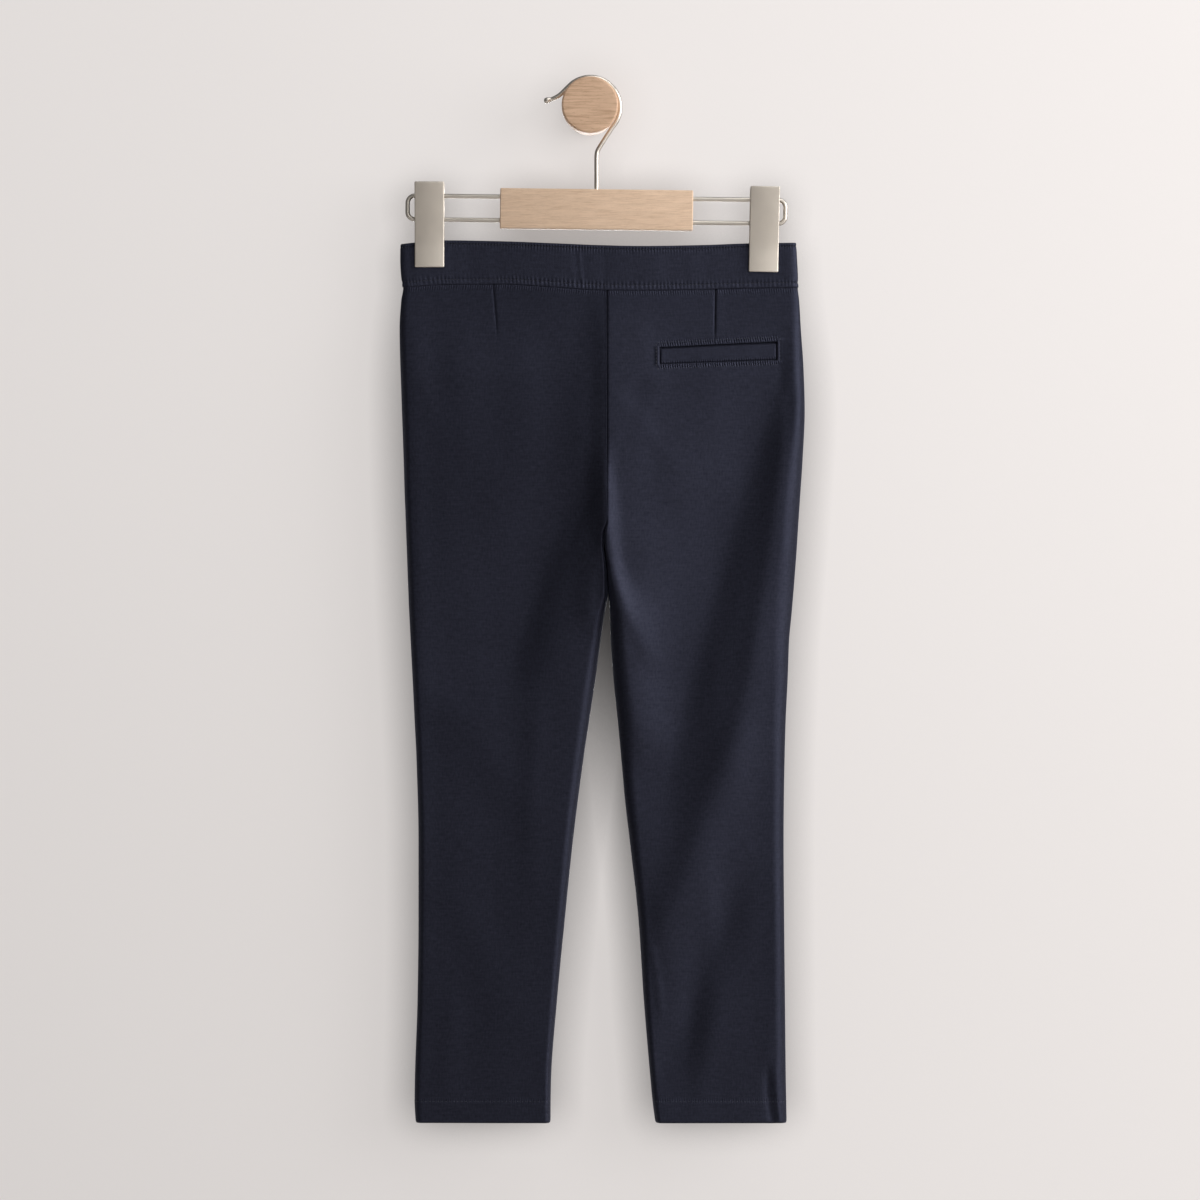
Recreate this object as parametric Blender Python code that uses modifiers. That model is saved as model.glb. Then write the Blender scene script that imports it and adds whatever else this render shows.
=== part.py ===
"""Skinny trousers for a child, hung by the waist from a clip hanger on a wooden wall peg.

The origin is the centre of the peg's back face. +Z is up, the wall is the plane y = 0 and the seat of
the trousers faces -Y. Lengths are in millimetres until they reach Blender, which takes metres.
"""

import math
from collections import namedtuple

import bmesh
import bpy
from mathutils import Vector
from mathutils.bvhtree import BVHTree

MM = 0.001
GAP = 0.3  # between sewn pieces
HALF_GAP = GAP / 2

# ---------------------------------------------------------------- trousers, sizes
CLOTH_Y = -27.0  # the plane halfway between the back and front layers
PANEL_WALL = 1.2
HEM_WALL = 1.9
BAND_WALL = 1.8
BAND_PROUD = 0.3  # the waistband stands this far outside the panels
HEM_FOLD_HEIGHT = -716.0
CENTRE_SEAM = 11.9  # centre-back and centre-front seams, across
CROTCH_HEIGHT = -300.5
RISE_CURVE_START = -256.0  # here the centre seams begin to turn under the body

Edge = namedtuple("Edge", "across waist_top band_seam")
WAIST_EDGES = (
    Edge(-136.0, -99.1, -130.6),
    Edge(-104.0, -96.5, -128.6),
    Edge(-65.0, -97.2, -128.4),
    Edge(-22.0, -98.9, -130.8),
    Edge(7.0, -100.1, -132.6),
    Edge(36.0, -100.7, -132.8),
    Edge(79.0, -100.0, -132.2),
    Edge(115.0, -98.7, -131.2),
    Edge(149.0, -98.2, -130.8),
)

Leg = namedtuple("Leg", "height outer inner")
LEFT_LEG = (
    Leg(-98.0, -135.6, 11.7),
    Leg(-110.0, -136.1, 11.7),
    Leg(-124.0, -135.4, 11.7),
    Leg(-131.0, -134.2, 11.7),
    Leg(-140.0, -135.6, 11.7),
    Leg(-160.0, -136.8, 11.7),
    Leg(-211.0, -135.4, 11.7),
    Leg(-254.0, -133.9, 11.7),
    Leg(-284.0, -133.0, 11.6),
    Leg(-299.0, -132.4, 11.6),
    Leg(-307.0, -132.1, 9.9),
    Leg(-315.0, -131.8, 9.8),
    Leg(-325.0, -131.4, 11.0),
    Leg(-337.0, -131.0, 12.2),
    Leg(-352.0, -130.4, 12.8),
    Leg(-358.0, -130.2, 12.0),
    Leg(-370.0, -129.6, 9.7),
    Leg(-384.0, -128.9, 7.6),
    Leg(-413.0, -127.4, 3.6),
    Leg(-442.0, -126.0, -0.8),
    Leg(-471.0, -124.6, -5.1),
    Leg(-528.0, -123.2, -12.4),
    Leg(-586.0, -123.2, -18.4),
    Leg(-643.0, -123.9, -23.9),
    Leg(-700.0, -125.8, -28.2),
    Leg(-716.0, -126.0, -28.5),
    Leg(-731.5, -125.2, -28.6),
)
RIGHT_LEG = (
    Leg(-98.0, 147.7, 12.1),
    Leg(-110.0, 148.1, 12.1),
    Leg(-124.0, 148.9, 12.1),
    Leg(-131.0, 149.1, 12.1),
    Leg(-140.0, 150.1, 12.1),
    Leg(-160.0, 151.3, 12.1),
    Leg(-190.0, 153.3, 12.1),
    Leg(-219.0, 154.1, 12.1),
    Leg(-254.0, 152.6, 12.1),
    Leg(-284.0, 150.7, 12.1),
    Leg(-299.0, 149.6, 12.1),
    Leg(-307.0, 149.1, 10.4),
    Leg(-315.0, 148.6, 10.3),
    Leg(-325.0, 147.9, 11.5),
    Leg(-337.0, 147.0, 12.7),
    Leg(-352.0, 145.8, 13.4),
    Leg(-366.0, 144.6, 14.1),
    Leg(-384.0, 142.9, 15.2),
    Leg(-413.0, 141.8, 17.3),
    Leg(-442.0, 140.4, 20.3),
    Leg(-471.0, 139.6, 23.0),
    Leg(-500.0, 139.1, 25.6),
    Leg(-528.0, 138.9, 28.9),
    Leg(-586.0, 139.3, 35.3),
    Leg(-643.0, 139.9, 39.1),
    Leg(-700.0, 140.5, 43.9),
    Leg(-716.0, 140.8, 45.4),
    Leg(-731.5, 141.1, 47.4),
)

# How far each layer stands from the middle plane. The back layer is deepest beside the centre seam
# (middle) and falls towards the outer fold of each leg (left, right). The rest is how wide the
# rounding at each fold is.
Depth = namedtuple("Depth", "height middle left right front left_round right_round inner_round")
DEPTHS = (
    Depth(-98.0, 7.0, 7.0, 7.0, 7.0, 5.5, 5.5, 12.0),
    Depth(-131.0, 7.4, 7.0, 7.0, 7.2, 6.0, 6.0, 12.0),
    Depth(-160.0, 10.6, 9.4, 9.8, 8.8, 9.0, 9.0, 10.0),
    Depth(-200.0, 15.0, 12.1, 13.0, 11.0, 11.0, 11.0, 8.0),
    Depth(-240.0, 17.4, 12.4, 14.1, 12.5, 11.5, 12.0, 7.0),
    Depth(-275.0, 17.4, 12.2, 14.1, 12.5, 12.0, 13.0, 5.0),
    Depth(-300.0, 16.6, 11.4, 13.2, 12.5, 12.0, 14.0, 4.0),
    Depth(-335.0, 15.5, 10.6, 12.4, 12.0, 12.0, 15.0, 4.5),
    Depth(-352.0, 15.1, 11.2, 12.0, 11.8, 12.0, 15.5, 7.0),
    Depth(-376.0, 14.5, 11.5, 11.6, 11.5, 12.0, 16.0, 10.5),
    Depth(-430.0, 13.4, 10.1, 10.9, 10.6, 12.0, 16.0, 11.0),
    Depth(-470.0, 12.8, 9.0, 10.4, 10.2, 12.0, 16.0, 10.0),
    Depth(-540.0, 12.0, 8.6, 9.9, 9.6, 11.0, 15.0, 9.0),
    Depth(-620.0, 11.4, 8.3, 9.5, 9.0, 11.0, 14.0, 8.5),
    Depth(-690.0, 11.0, 8.1, 9.1, 8.6, 11.0, 14.0, 8.0),
    Depth(-731.5, 10.8, 8.0, 8.9, 8.4, 11.0, 13.0, 8.0),
)

# The clips press both layers together, and the cloth opens again below them and between them.
CLIP_LEFT_ACROSS = -115.5
CLIP_RIGHT_ACROSS = 125.4
CLAMPED_DEPTH = 2.3
CLAMPED_HALF_WIDTH = 12.0
CLAMP_SPREAD = 31.0
WAIST_MIDDLE_DEPTH = 7.0
WAIST_SIDE_DEPTH = 3.5
CLAMP_BOTTOM = -117.0
CLAMP_FORGOTTEN = -200.0

# Largest folds. Each runs from its top point to its bottom point; bow moves its middle across, left
# and right are its half-widths on either side and rise is how far the cloth stands out there (a
# trough where it is negative).
Fold = namedtuple("Fold", "top_across top_height low_across low_height bow left right rise")
BACK_FOLDS = (
    Fold(125.0, -235.0, 53.0, -490.0, -5.0, 40.0, 20.0, -4.6),
    Fold(145.0, -210.0, 104.0, -460.0, 4.0, 11.0, 12.0, 1.4),
    Fold(108.0, -444.0, 50.0, -610.0, 0.0, 15.0, 20.0, 3.4),
    Fold(22.0, -346.0, 40.0, -466.0, 0.0, 12.0, 21.0, 3.0),
    Fold(10.5, -258.0, 27.5, -368.0, -5.0, 9.0, 10.0, 2.4),
    Fold(-10.0, -275.0, -58.0, -415.0, -6.0, 38.0, 17.0, -2.7),
    Fold(104.0, -560.0, 54.0, -704.0, 0.0, 17.0, 15.0, -2.5),
    Fold(-66.0, -440.0, -58.0, -600.0, 0.0, 30.0, 34.0, -1.0),
)
FRONT_FOLDS = (
    Fold(118.0, -190.0, 58.0, -470.0, 4.0, 18.0, 18.0, -2.4),
    Fold(-100.0, -200.0, -48.0, -440.0, -4.0, 18.0, 18.0, -2.2),
    Fold(18.0, -262.0, 70.0, -330.0, 0.0, 14.0, 14.0, -1.8),
    Fold(4.0, -262.0, -42.0, -338.0, 0.0, 14.0, 14.0, -1.8),
    Fold(-112.0, -505.0, -50.0, -545.0, 0.0, 14.0, 14.0, -1.4),
    Fold(126.0, -510.0, 52.0, -548.0, 0.0, 14.0, 14.0, -1.4),
)

BACK_ROWS = (
    -131.0, -140.0, -152.0, -168.0, -184.0, -200.0, -218.0, -236.0, -254.0, -268.0, -279.0, -288.0,
    -295.0, -300.5, -307.0, -316.0, -328.0, -342.0, -356.0, -370.0, -388.0, -410.0, -434.0, -460.0,
    -486.0, -512.0, -540.0, -570.0, -602.0, -634.0, -666.0, -694.0, -713.0, -716.5, -731.5,
)
FRONT_ROWS = (
    -131.0, -142.0, -158.0, -178.0, -200.0, -222.0, -244.0, -262.0, -276.0, -287.0, -295.0, -300.5,
    -308.0, -320.0, -336.0, -356.0, -380.0, -410.0, -442.0, -474.0, -508.0, -544.0, -582.0, -622.0,
    -662.0, -696.0, -713.0, -716.5, -731.5,
)
BAND_ROWS = 4
SAG_FADES_OVER = 80.0  # below the waistband seam the rows of the panels become level
OUTER_STEPS = 3
MIDDLE_STEPS = 8
INNER_STEPS = 3

# ---------------------------------------------------------------- trousers, small pieces
WELT_LEFT = 51.0
WELT_RIGHT = 135.5
WELT_TOP_LEFT = -174.0
WELT_TOP_RIGHT = -169.8
WELT_HEIGHT = 12.2
WELT_THICK = 1.0
FLY_WIDTH = 30.0
FLY_TOP = -136.5
FLY_LENGTH = 98.0
FLY_THICK = 1.0
BUTTON_RADIUS = 7.0
BUTTON_THICK = 2.6
BUTTON_ACROSS = 2.0
BUTTON_HEIGHT = -116.5

# ---------------------------------------------------------------- hanger and peg, sizes
HANGER_ACROSS = 4.7
HANGER_HEIGHT = -74.4
HANGER_TILT = math.radians(0.7)
BAR_LENGTH = 138.8
BAR_HEIGHT = 29.0
BAR_THICK = 12.0
BAR_BEVEL = 1.2
WIRE = 1.6  # radius
RAIL_HALF_LENGTH = 136.0
RAIL_HALF_SPACING = 8.5
HOOK_RADIUS = 21.6
HOOK_CENTRE_HEIGHT = -0.5
SHANK_BEND_HEIGHT = -33.0
SHANK_DEPTH = 3.2  # of the shank's socket in the bar, above the upper rail
CLIP_WIDTH = 21.2
CLIP_LENGTH = 61.4
CLIP_SHEET = 1.0
CLIP_JAW_OFFSET = 3.1  # inner face of the jaw, from the middle plane
CLIP_TOP_OFFSET = 9.6
CLIP_JAW_LENGTH = 17.0
CLIP_THROAT = 7.0
CLIP_LEFT_TOP = -54.6
CLIP_RIGHT_TOP = -58.0
CLIP_RIGHT_LEAN = math.radians(1.2)
CORE_WIDTH = 13.0
CORE_TOP = 5.0  # below the clip's top
CORE_BOTTOM = 35.5
PEG_NECK_RADIUS = 19.2
PEG_HEAD_RADIUS = 20.3
PEG_NECK_LENGTH = 30.0
PEG_LENGTH = 47.0
PEG_EDGE = 1.5

# ---------------------------------------------------------------- colours: (r, g, b), roughness, metallic
CLOTH_NAVY = ((0.021, 0.023, 0.036), 0.85, 0.0)
BUTTON_NAVY = ((0.018, 0.019, 0.028), 0.4, 0.0)
BEECH = ((0.60, 0.44, 0.31), 0.55, 0.0)
NICKEL = ((0.64, 0.57, 0.49), 0.32, 1.0)
STEEL = ((0.62, 0.58, 0.53), 0.28, 1.0)
SPRING = ((0.35, 0.33, 0.31), 0.4, 1.0)


def smooth(rows, key, column, at):
    """The column's value at this key, on a smooth curve through the rows of a table."""
    keys = [getattr(row, key) for row in rows]
    values = [getattr(row, column) for row in rows]
    if keys[0] > keys[-1]:
        keys.reverse()
        values.reverse()
    if at <= keys[0]:
        return values[0]
    if at >= keys[-1]:
        return values[-1]
    i = max(j for j in range(len(keys) - 1) if keys[j] <= at)
    span = keys[i + 1] - keys[i]
    slopes = [(values[j + 1] - values[j]) / (keys[j + 1] - keys[j]) for j in range(len(keys) - 1)]

    def tangent(j):
        if j == 0 or j == len(keys) - 1:
            return slopes[min(j, len(slopes) - 1)]
        before, after = slopes[j - 1], slopes[j]
        return 0.0 if before * after <= 0 else 2 * before * after / (before + after)

    t = (at - keys[i]) / span
    start, end = tangent(i) * span, tangent(i + 1) * span
    return (
        values[i] * (2 * t**3 - 3 * t**2 + 1)
        + start * (t**3 - 2 * t**2 + t)
        + values[i + 1] * (3 * t**2 - 2 * t**3)
        + end * (t**3 - t**2)
    )


def ease(t):
    t = min(max(t, 0.0), 1.0)
    return t * t * (3 - 2 * t)


# ---------------------------------------------------------------- the cloth's surface
def waist_depth(across):
    """Depth at waist level, where the clips press the layers together."""
    middle = HANGER_ACROSS
    reach = (across - middle) / 118.0
    free = WAIST_SIDE_DEPTH + (WAIST_MIDDLE_DEPTH - WAIST_SIDE_DEPTH) * max(0.0, 1 - reach * reach) ** 0.5
    nearest = min(abs(across - CLIP_LEFT_ACROSS), abs(across - CLIP_RIGHT_ACROSS))
    held = 1 - ease((nearest - CLAMPED_HALF_WIDTH) / CLAMP_SPREAD)
    return free + (CLAMPED_DEPTH - free) * held


def crotch_closing(height):
    """0 where the halves run straight into each other, 1 where each leg is a tube of its own."""
    return min(max((RISE_CURVE_START - height) / (RISE_CURVE_START - CROTCH_HEIGHT), 0.0), 1.0)


def fold_rise(folds, across, height):
    total = 0.0
    for fold in folds:
        t = (fold.top_height - height) / (fold.top_height - fold.low_height)
        if t <= -0.2 or t >= 1.2:
            continue
        line = fold.top_across + (fold.low_across - fold.top_across) * t + fold.bow * 4 * t * (1 - t)
        lean = (fold.low_across - fold.top_across) / (fold.top_height - fold.low_height)
        distance = (across - line) / math.hypot(1.0, lean)
        distance /= fold.left if distance < 0 else fold.right
        ends = ease((t + 0.2) / 0.4) * ease((1.2 - t) / 0.4)
        total += fold.rise * math.exp(-distance * distance) * ends
    return total


def section(leg, height):
    outer = smooth(leg, "height", "outer", height)
    inner = smooth(leg, "height", "inner", height)
    side = "left" if leg is LEFT_LEG else "right"
    outer_round = smooth(DEPTHS, "height", side + "_round", height)
    inner_round = smooth(DEPTHS, "height", "inner_round", height)
    return outer, inner, outer_round, inner_round


def across_at(leg, u, height):
    """Across at u, which runs from 0 at the outer fold to 1 at the inner edge, closest near both."""
    outer, inner, outer_round, inner_round = section(leg, height)
    side = 1 if inner > outer else -1
    steps = OUTER_STEPS + MIDDLE_STEPS + INNER_STEPS
    step = u * steps
    if step <= OUTER_STEPS:
        angle = math.pi / 2 * (1 - step / OUTER_STEPS)
        return outer + side * outer_round * (1 - math.sin(angle))
    if step >= OUTER_STEPS + MIDDLE_STEPS:
        angle = math.pi / 2 * (step - OUTER_STEPS - MIDDLE_STEPS) / INNER_STEPS
        return inner - side * inner_round * (1 - math.sin(angle))
    start = outer + side * outer_round
    end = inner - side * inner_round
    return start + (end - start) * (step - OUTER_STEPS) / MIDDLE_STEPS


def hanging_depth(leg, face, share, height):
    """Depth of the free cloth at a share of the way from the inner edge to the outer fold."""
    if face == "front":
        return smooth(DEPTHS, "height", "front", height)
    middle = smooth(DEPTHS, "height", "middle", height)
    side = smooth(DEPTHS, "height", "left" if leg is LEFT_LEG else "right", height)
    return middle + (side - middle) * min(max(share, 0.0), 1.0)


def depth_at(leg, face, across, height):
    """How far the outside of this layer stands from the middle plane."""
    outer, inner, outer_round, inner_round = section(leg, height)
    from_outer = min(abs(across - outer) / outer_round, 1.0)
    from_inner = min(abs(inner - across) / inner_round, 1.0)
    closing = crotch_closing(height)
    rounding = max(0.0, 1 - (1 - from_outer) ** 2) ** 0.5
    rounding *= max(0.0, 1 - (closing * (1 - from_inner)) ** 2) ** 0.5
    hanging = ease((CLAMP_BOTTOM - height) / (CLAMP_BOTTOM - CLAMP_FORGOTTEN))
    full = hanging_depth(leg, face, (inner - across) / (inner - outer), height)
    folds = BACK_FOLDS if face == "back" else FRONT_FOLDS
    depth = waist_depth(across) * (1 - hanging) + full * hanging
    return rounding * (depth + fold_rise(folds, across, height))


def sag(height, across):
    """The rows of a panel follow the waistband seam at the top and become level lower down."""
    top = smooth(WAIST_EDGES, "across", "band_seam", across) - HALF_GAP
    start = BACK_ROWS[0]
    fade = 1 - ease((start - height) / SAG_FADES_OVER)
    return height + (top - start) * fade


def cloth_point(leg, face, u, height, proud=0.0):
    across = across_at(leg, u, height)
    depth = depth_at(leg, face, across, height)
    facing = -1 if face == "back" else 1
    return (across, CLOTH_Y + facing * (HALF_GAP + depth + proud), height)


def difference(a, b):
    return tuple(p - q for p, q in zip(a, b))


def cross(a, b):
    return (
        a[1] * b[2] - a[2] * b[1],
        a[2] * b[0] - a[0] * b[2],
        a[0] * b[1] - a[1] * b[0],
    )


def outward(leg, face, u, height):
    """Unit normal of a layer, out of the garment."""
    low, high = max(u - 1e-4, 0.0), min(u + 1e-4, 1.0)
    along = difference(cloth_point(leg, face, high, height), cloth_point(leg, face, low, height))
    down = difference(cloth_point(leg, face, u, height - 0.5), cloth_point(leg, face, u, height + 0.5))
    normal = cross(along, down)
    length = math.sqrt(sum(value * value for value in normal))
    inner_is_right = leg[0].inner > leg[0].outer
    sign = -1 if inner_is_right == (face == "back") else 1
    return tuple(sign * value / length for value in normal)


def panel_wall(height):
    return PANEL_WALL + (HEM_WALL - PANEL_WALL) * ease((HEM_FOLD_HEIGHT + 3.0 - height) / 3.0)


def panel_grids(leg, face, heights):
    """Rows of outside points and rows of inside points of one panel."""
    steps = OUTER_STEPS + MIDDLE_STEPS + INNER_STEPS
    outside, inside = [], []
    for height in heights:
        outside_row, inside_row = [], []
        for step in range(steps + 1):
            u = step / steps
            x, y, z = cloth_point(leg, face, u, height)
            normal = outward(leg, face, u, height)
            wall = panel_wall(height)
            shift = sag(height, x) - height
            inner_x = x - wall * normal[0]
            inner_y = y - wall * normal[1]
            if step == steps:
                inner_x = min(inner_x, x) if leg[0].inner > leg[0].outer else max(inner_x, x)
            if step == 0 or (step == steps and height <= CROTCH_HEIGHT):
                inner_y = y
            outside_row.append((x, y, z + shift))
            inside_row.append((inner_x, inner_y, z + shift))
        outside.append(outside_row)
        inside.append(inside_row)
    return outside, inside


# ---------------------------------------------------------------- building
def clear():
    for obj in list(bpy.data.objects):
        bpy.data.objects.remove(obj, do_unlink=True)
    for name in ("skinny_trousers", "cutters"):
        bpy.context.scene.collection.children.link(bpy.data.collections.new(name))


def material(name, look):
    colour, roughness, metallic = look
    made = bpy.data.materials.new(name)
    made.use_nodes = True
    shader = made.node_tree.nodes["Principled BSDF"]
    shader.inputs["Base Color"].default_value = (*colour, 1.0)
    shader.inputs["Roughness"].default_value = roughness
    shader.inputs["Metallic"].default_value = metallic
    return made


def to_collection(obj, name="skinny_trousers"):
    for collection in list(obj.users_collection):
        collection.objects.unlink(obj)
    bpy.data.collections[name].objects.link(obj)


def finish(obj, name, look, round_shading=True):
    obj.name = name
    obj.data.name = name
    obj.data.materials.clear()
    obj.data.materials.append(material(name, look))
    if obj.type == "MESH" and round_shading:
        for face in obj.data.polygons:
            face.use_smooth = True
    to_collection(obj)
    return obj


def mesh_object(name, points, faces):
    mesh = bpy.data.meshes.new(name)
    mesh.from_pydata([tuple(value * MM for value in point) for point in points], [], faces)
    shape = bmesh.new()
    shape.from_mesh(mesh)
    bmesh.ops.recalc_face_normals(shape, faces=shape.faces)
    shape.to_mesh(mesh)
    shape.free()
    obj = bpy.data.objects.new(name, mesh)
    bpy.context.scene.collection.objects.link(obj)
    return obj


def walled_sheet(name, outside, inside):
    """A closed wall between two grids of points that have the same rows and columns."""
    rows, columns = len(outside), len(outside[0])
    points = [point for row in outside for point in row] + [point for row in inside for point in row]
    behind = rows * columns

    def at(row, column):
        return row * columns + column

    faces = []
    for row in range(rows - 1):
        for column in range(columns - 1):
            quad = (at(row, column), at(row, column + 1), at(row + 1, column + 1), at(row + 1, column))
            faces.append(quad)
            faces.append(tuple(behind + index for index in reversed(quad)))
    rim = [at(0, column) for column in range(columns)]
    rim += [at(row, columns - 1) for row in range(1, rows)]
    rim += [at(rows - 1, column) for column in range(columns - 2, -1, -1)]
    rim += [at(row, 0) for row in range(rows - 2, 0, -1)]
    for i, start in enumerate(rim):
        end = rim[(i + 1) % len(rim)]
        faces.append((end, start, behind + start, behind + end))
    return mesh_object(name, points, faces)


def panel(name, leg, face, heights):
    outside, inside = panel_grids(leg, face, heights)
    return finish(walled_sheet(name, outside, inside), name, CLOTH_NAVY)


def band_column(leg, face, u):
    """Outside and inside points of the waistband, top to bottom, at one place round it."""
    outside, inside = [], []
    for row in range(BAND_ROWS):
        share = row / (BAND_ROWS - 1)
        across = across_at(leg, u, -115.0)
        top = smooth(WAIST_EDGES, "across", "waist_top", across)
        bottom = smooth(WAIST_EDGES, "across", "band_seam", across) + HALF_GAP
        level = -100.0 - 31.0 * share
        x, y, _ = cloth_point(leg, face, u, level)
        normal = outward(leg, face, u, level)
        z = top + (bottom - top) * share
        facing = -1 if face == "back" else 1
        if u == 0.0:
            y = CLOTH_Y
            normal = (1.0 if leg[0].outer > leg[0].inner else -1.0, 0.0, 0.0)
        else:
            y -= facing * HALF_GAP
        outside.append((x + BAND_PROUD * normal[0], y + BAND_PROUD * normal[1], z))
        depth = BAND_WALL
        inside.append((x - depth * normal[0], y - depth * normal[1], z))
        if u == 1.0:
            outside[-1] = (x, outside[-1][1], z)
            inside[-1] = (x, inside[-1][1], z)
    return outside, inside


def waistband(name, leg):
    """From the centre back round one side to the centre front."""
    columns = []
    us = band_stations()
    for u in reversed(us):
        columns.append(band_column(leg, "back", u))
    for u in us[1:]:
        columns.append(band_column(leg, "front", u))
    outside = [[column[0][row] for column in columns] for row in range(BAND_ROWS)]
    inside = [[column[1][row] for column in columns] for row in range(BAND_ROWS)]
    return finish(walled_sheet(name, outside, inside), name, CLOTH_NAVY)


def band_stations():
    """Places along half of the waistband: close round the side fold and near the clip."""
    steps = OUTER_STEPS + MIDDLE_STEPS + INNER_STEPS
    stations = [step / steps for step in range(OUTER_STEPS + 1)]
    middle = 14
    start, end = OUTER_STEPS, OUTER_STEPS + MIDDLE_STEPS
    stations += [(start + (end - start) * (i / middle) ** 1.3) / steps for i in range(1, middle + 1)]
    stations += [(end + i) / steps for i in (1, INNER_STEPS)]
    return stations


def patch(name, on, columns, thick):
    """A thin piece that lies on a panel. Each column is its points, top to bottom, as (across, height)."""
    facing = -1 if on.name.startswith("back") else 1
    tree = BVHTree.FromObject(on, bpy.context.evaluated_depsgraph_get())
    start = 100.0 * facing * MM
    outside, inside = [], []
    for row in range(len(columns[0])):
        outside_row, inside_row = [], []
        for column in columns:
            across, height = column[row]
            above = Vector((across * MM, CLOTH_Y * MM + start, height * MM))
            hit = tree.ray_cast(above, Vector((0.0, -facing, 0.0)))[0]
            y = hit.y / MM + facing * GAP
            inside_row.append((across, y, height))
            outside_row.append((across, y + facing * thick, height))
        outside.append(outside_row)
        inside.append(inside_row)
    return finish(walled_sheet(name, outside, inside), name, CLOTH_NAVY)


def pocket_welt(back):
    columns = []
    for i in range(15):
        t = i / 14
        across = WELT_LEFT + (WELT_RIGHT - WELT_LEFT) * t
        top = WELT_TOP_LEFT + (WELT_TOP_RIGHT - WELT_TOP_LEFT) * t
        columns.append([(across, top - WELT_HEIGHT * row / 3) for row in range(4)])
    patch("pocket_welt", back, columns, WELT_THICK)


def fly(front):
    """Flap over the front opening, with the rounded lower corner of a fly."""
    columns = []
    for i in range(7):
        t = i / 6
        across = CENTRE_SEAM - 0.5 - FLY_WIDTH * (1 - t)
        corner = FLY_WIDTH * (1 - math.sqrt(max(0.0, 1 - (1 - t) ** 2))) * 1.2
        bottom = FLY_TOP - FLY_LENGTH + corner
        columns.append([(across, FLY_TOP + (bottom - FLY_TOP) * row / 9) for row in range(10)])
    patch("fly", front, columns, FLY_THICK)


def disc(name, radius, thick, centre, look, segments=32):
    bpy.ops.mesh.primitive_cylinder_add(
        vertices=segments, radius=radius * MM, depth=thick * MM,
        location=tuple(value * MM for value in centre), rotation=(math.pi / 2, 0.0, 0.0),
    )
    obj = bpy.context.object
    bevel = obj.modifiers.new("edge", "BEVEL")
    bevel.width = 0.5 * MM
    bevel.segments = 2
    bevel.limit_method = "ANGLE"
    return finish(obj, name, look)


def waist_button():
    surface = CLOTH_Y + depth_at(LEFT_LEG, "front", BUTTON_ACROSS, BUTTON_HEIGHT) + BAND_PROUD
    y = surface + GAP + 0.25 + BUTTON_THICK / 2
    disc("waist_button", BUTTON_RADIUS, BUTTON_THICK, (BUTTON_ACROSS, y, BUTTON_HEIGHT), BUTTON_NAVY)


# ---------------------------------------------------------------- hanger
def wire(name, points, radii, look, cyclic=False):
    """A round wire through points (across, y, height); radii are shares of the wire's own."""
    curve = bpy.data.curves.new(name, "CURVE")
    curve.dimensions = "3D"
    curve.bevel_depth = WIRE * MM
    curve.bevel_resolution = 2
    curve.use_fill_caps = not cyclic
    spline = curve.splines.new("POLY")
    spline.points.add(len(points) - 1)
    for i, point in enumerate(points):
        spline.points[i].co = (*(value * MM for value in point), 1.0)
        spline.points[i].radius = radii[i]
    spline.use_cyclic_u = cyclic
    obj = bpy.data.objects.new(name, curve)
    bpy.context.scene.collection.objects.link(obj)
    return finish(obj, name, look)


def arc(centre_x, centre_z, radius, start, end, steps):
    points = []
    for i in range(steps + 1):
        angle = math.radians(start + (end - start) * i / steps)
        points.append((centre_x + radius * math.cos(angle), centre_z + radius * math.sin(angle)))
    return points


def hanger_hook():
    """Shank out of the bar, a bend across to the bow that lies on the peg, and a flared tip."""
    bottom = HANGER_HEIGHT + BAR_HEIGHT / 2 - SHANK_DEPTH + GAP
    path = [(HANGER_ACROSS, bottom), (HANGER_ACROSS, SHANK_BEND_HEIGHT - 6.0)]
    path += [(HANGER_ACROSS, SHANK_BEND_HEIGHT - 2.0), (HANGER_ACROSS + 0.5, SHANK_BEND_HEIGHT + 0.6)]
    path += [(HANGER_ACROSS + 1.8, SHANK_BEND_HEIGHT + 3.2)]
    path += arc(0.1, HOOK_CENTRE_HEIGHT, HOOK_RADIUS, -43.0, 128.0, 26)
    path += [(-17.6, 12.3), (-20.8, 8.9), (-24.4, 6.4), (-28.0, 5.0)]
    radii = [1.0] * len(path)
    path += [(-30.4, 4.4), (-31.6, 4.2), (-32.3, 4.1)]
    radii += [1.25, 1.2, 0.6]
    wire("hanger_hook", [(x, CLOTH_Y, z) for x, z in path], radii, STEEL)


def hanger_rail():
    reach = RAIL_HALF_LENGTH - RAIL_HALF_SPACING
    path = arc(reach, 0.0, RAIL_HALF_SPACING, -90.0, 90.0, 10)
    path += arc(-reach, 0.0, RAIL_HALF_SPACING, 90.0, 270.0, 10)
    obj = wire("hanger_rail", [(x, 0.0, z) for x, z in path], [1.0] * len(path), STEEL, cyclic=True)
    to_hanger(obj)


def to_hanger(obj):
    obj.location = (HANGER_ACROSS * MM, CLOTH_Y * MM, HANGER_HEIGHT * MM)
    obj.rotation_euler = (0.0, HANGER_TILT, 0.0)


def cutter(name, radius, length, location, rotation):
    bpy.ops.mesh.primitive_cylinder_add(
        vertices=24, radius=radius * MM, depth=length * MM,
        location=tuple(value * MM for value in location), rotation=rotation,
    )
    obj = bpy.context.object
    obj.name = name
    obj.display_type = "WIRE"
    obj.hide_render = True
    to_collection(obj, "cutters")
    return obj


def cut(obj, name, tool):
    modifier = obj.modifiers.new(name, "BOOLEAN")
    modifier.operation = "DIFFERENCE"
    modifier.solver = "EXACT"
    modifier.object = tool


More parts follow.
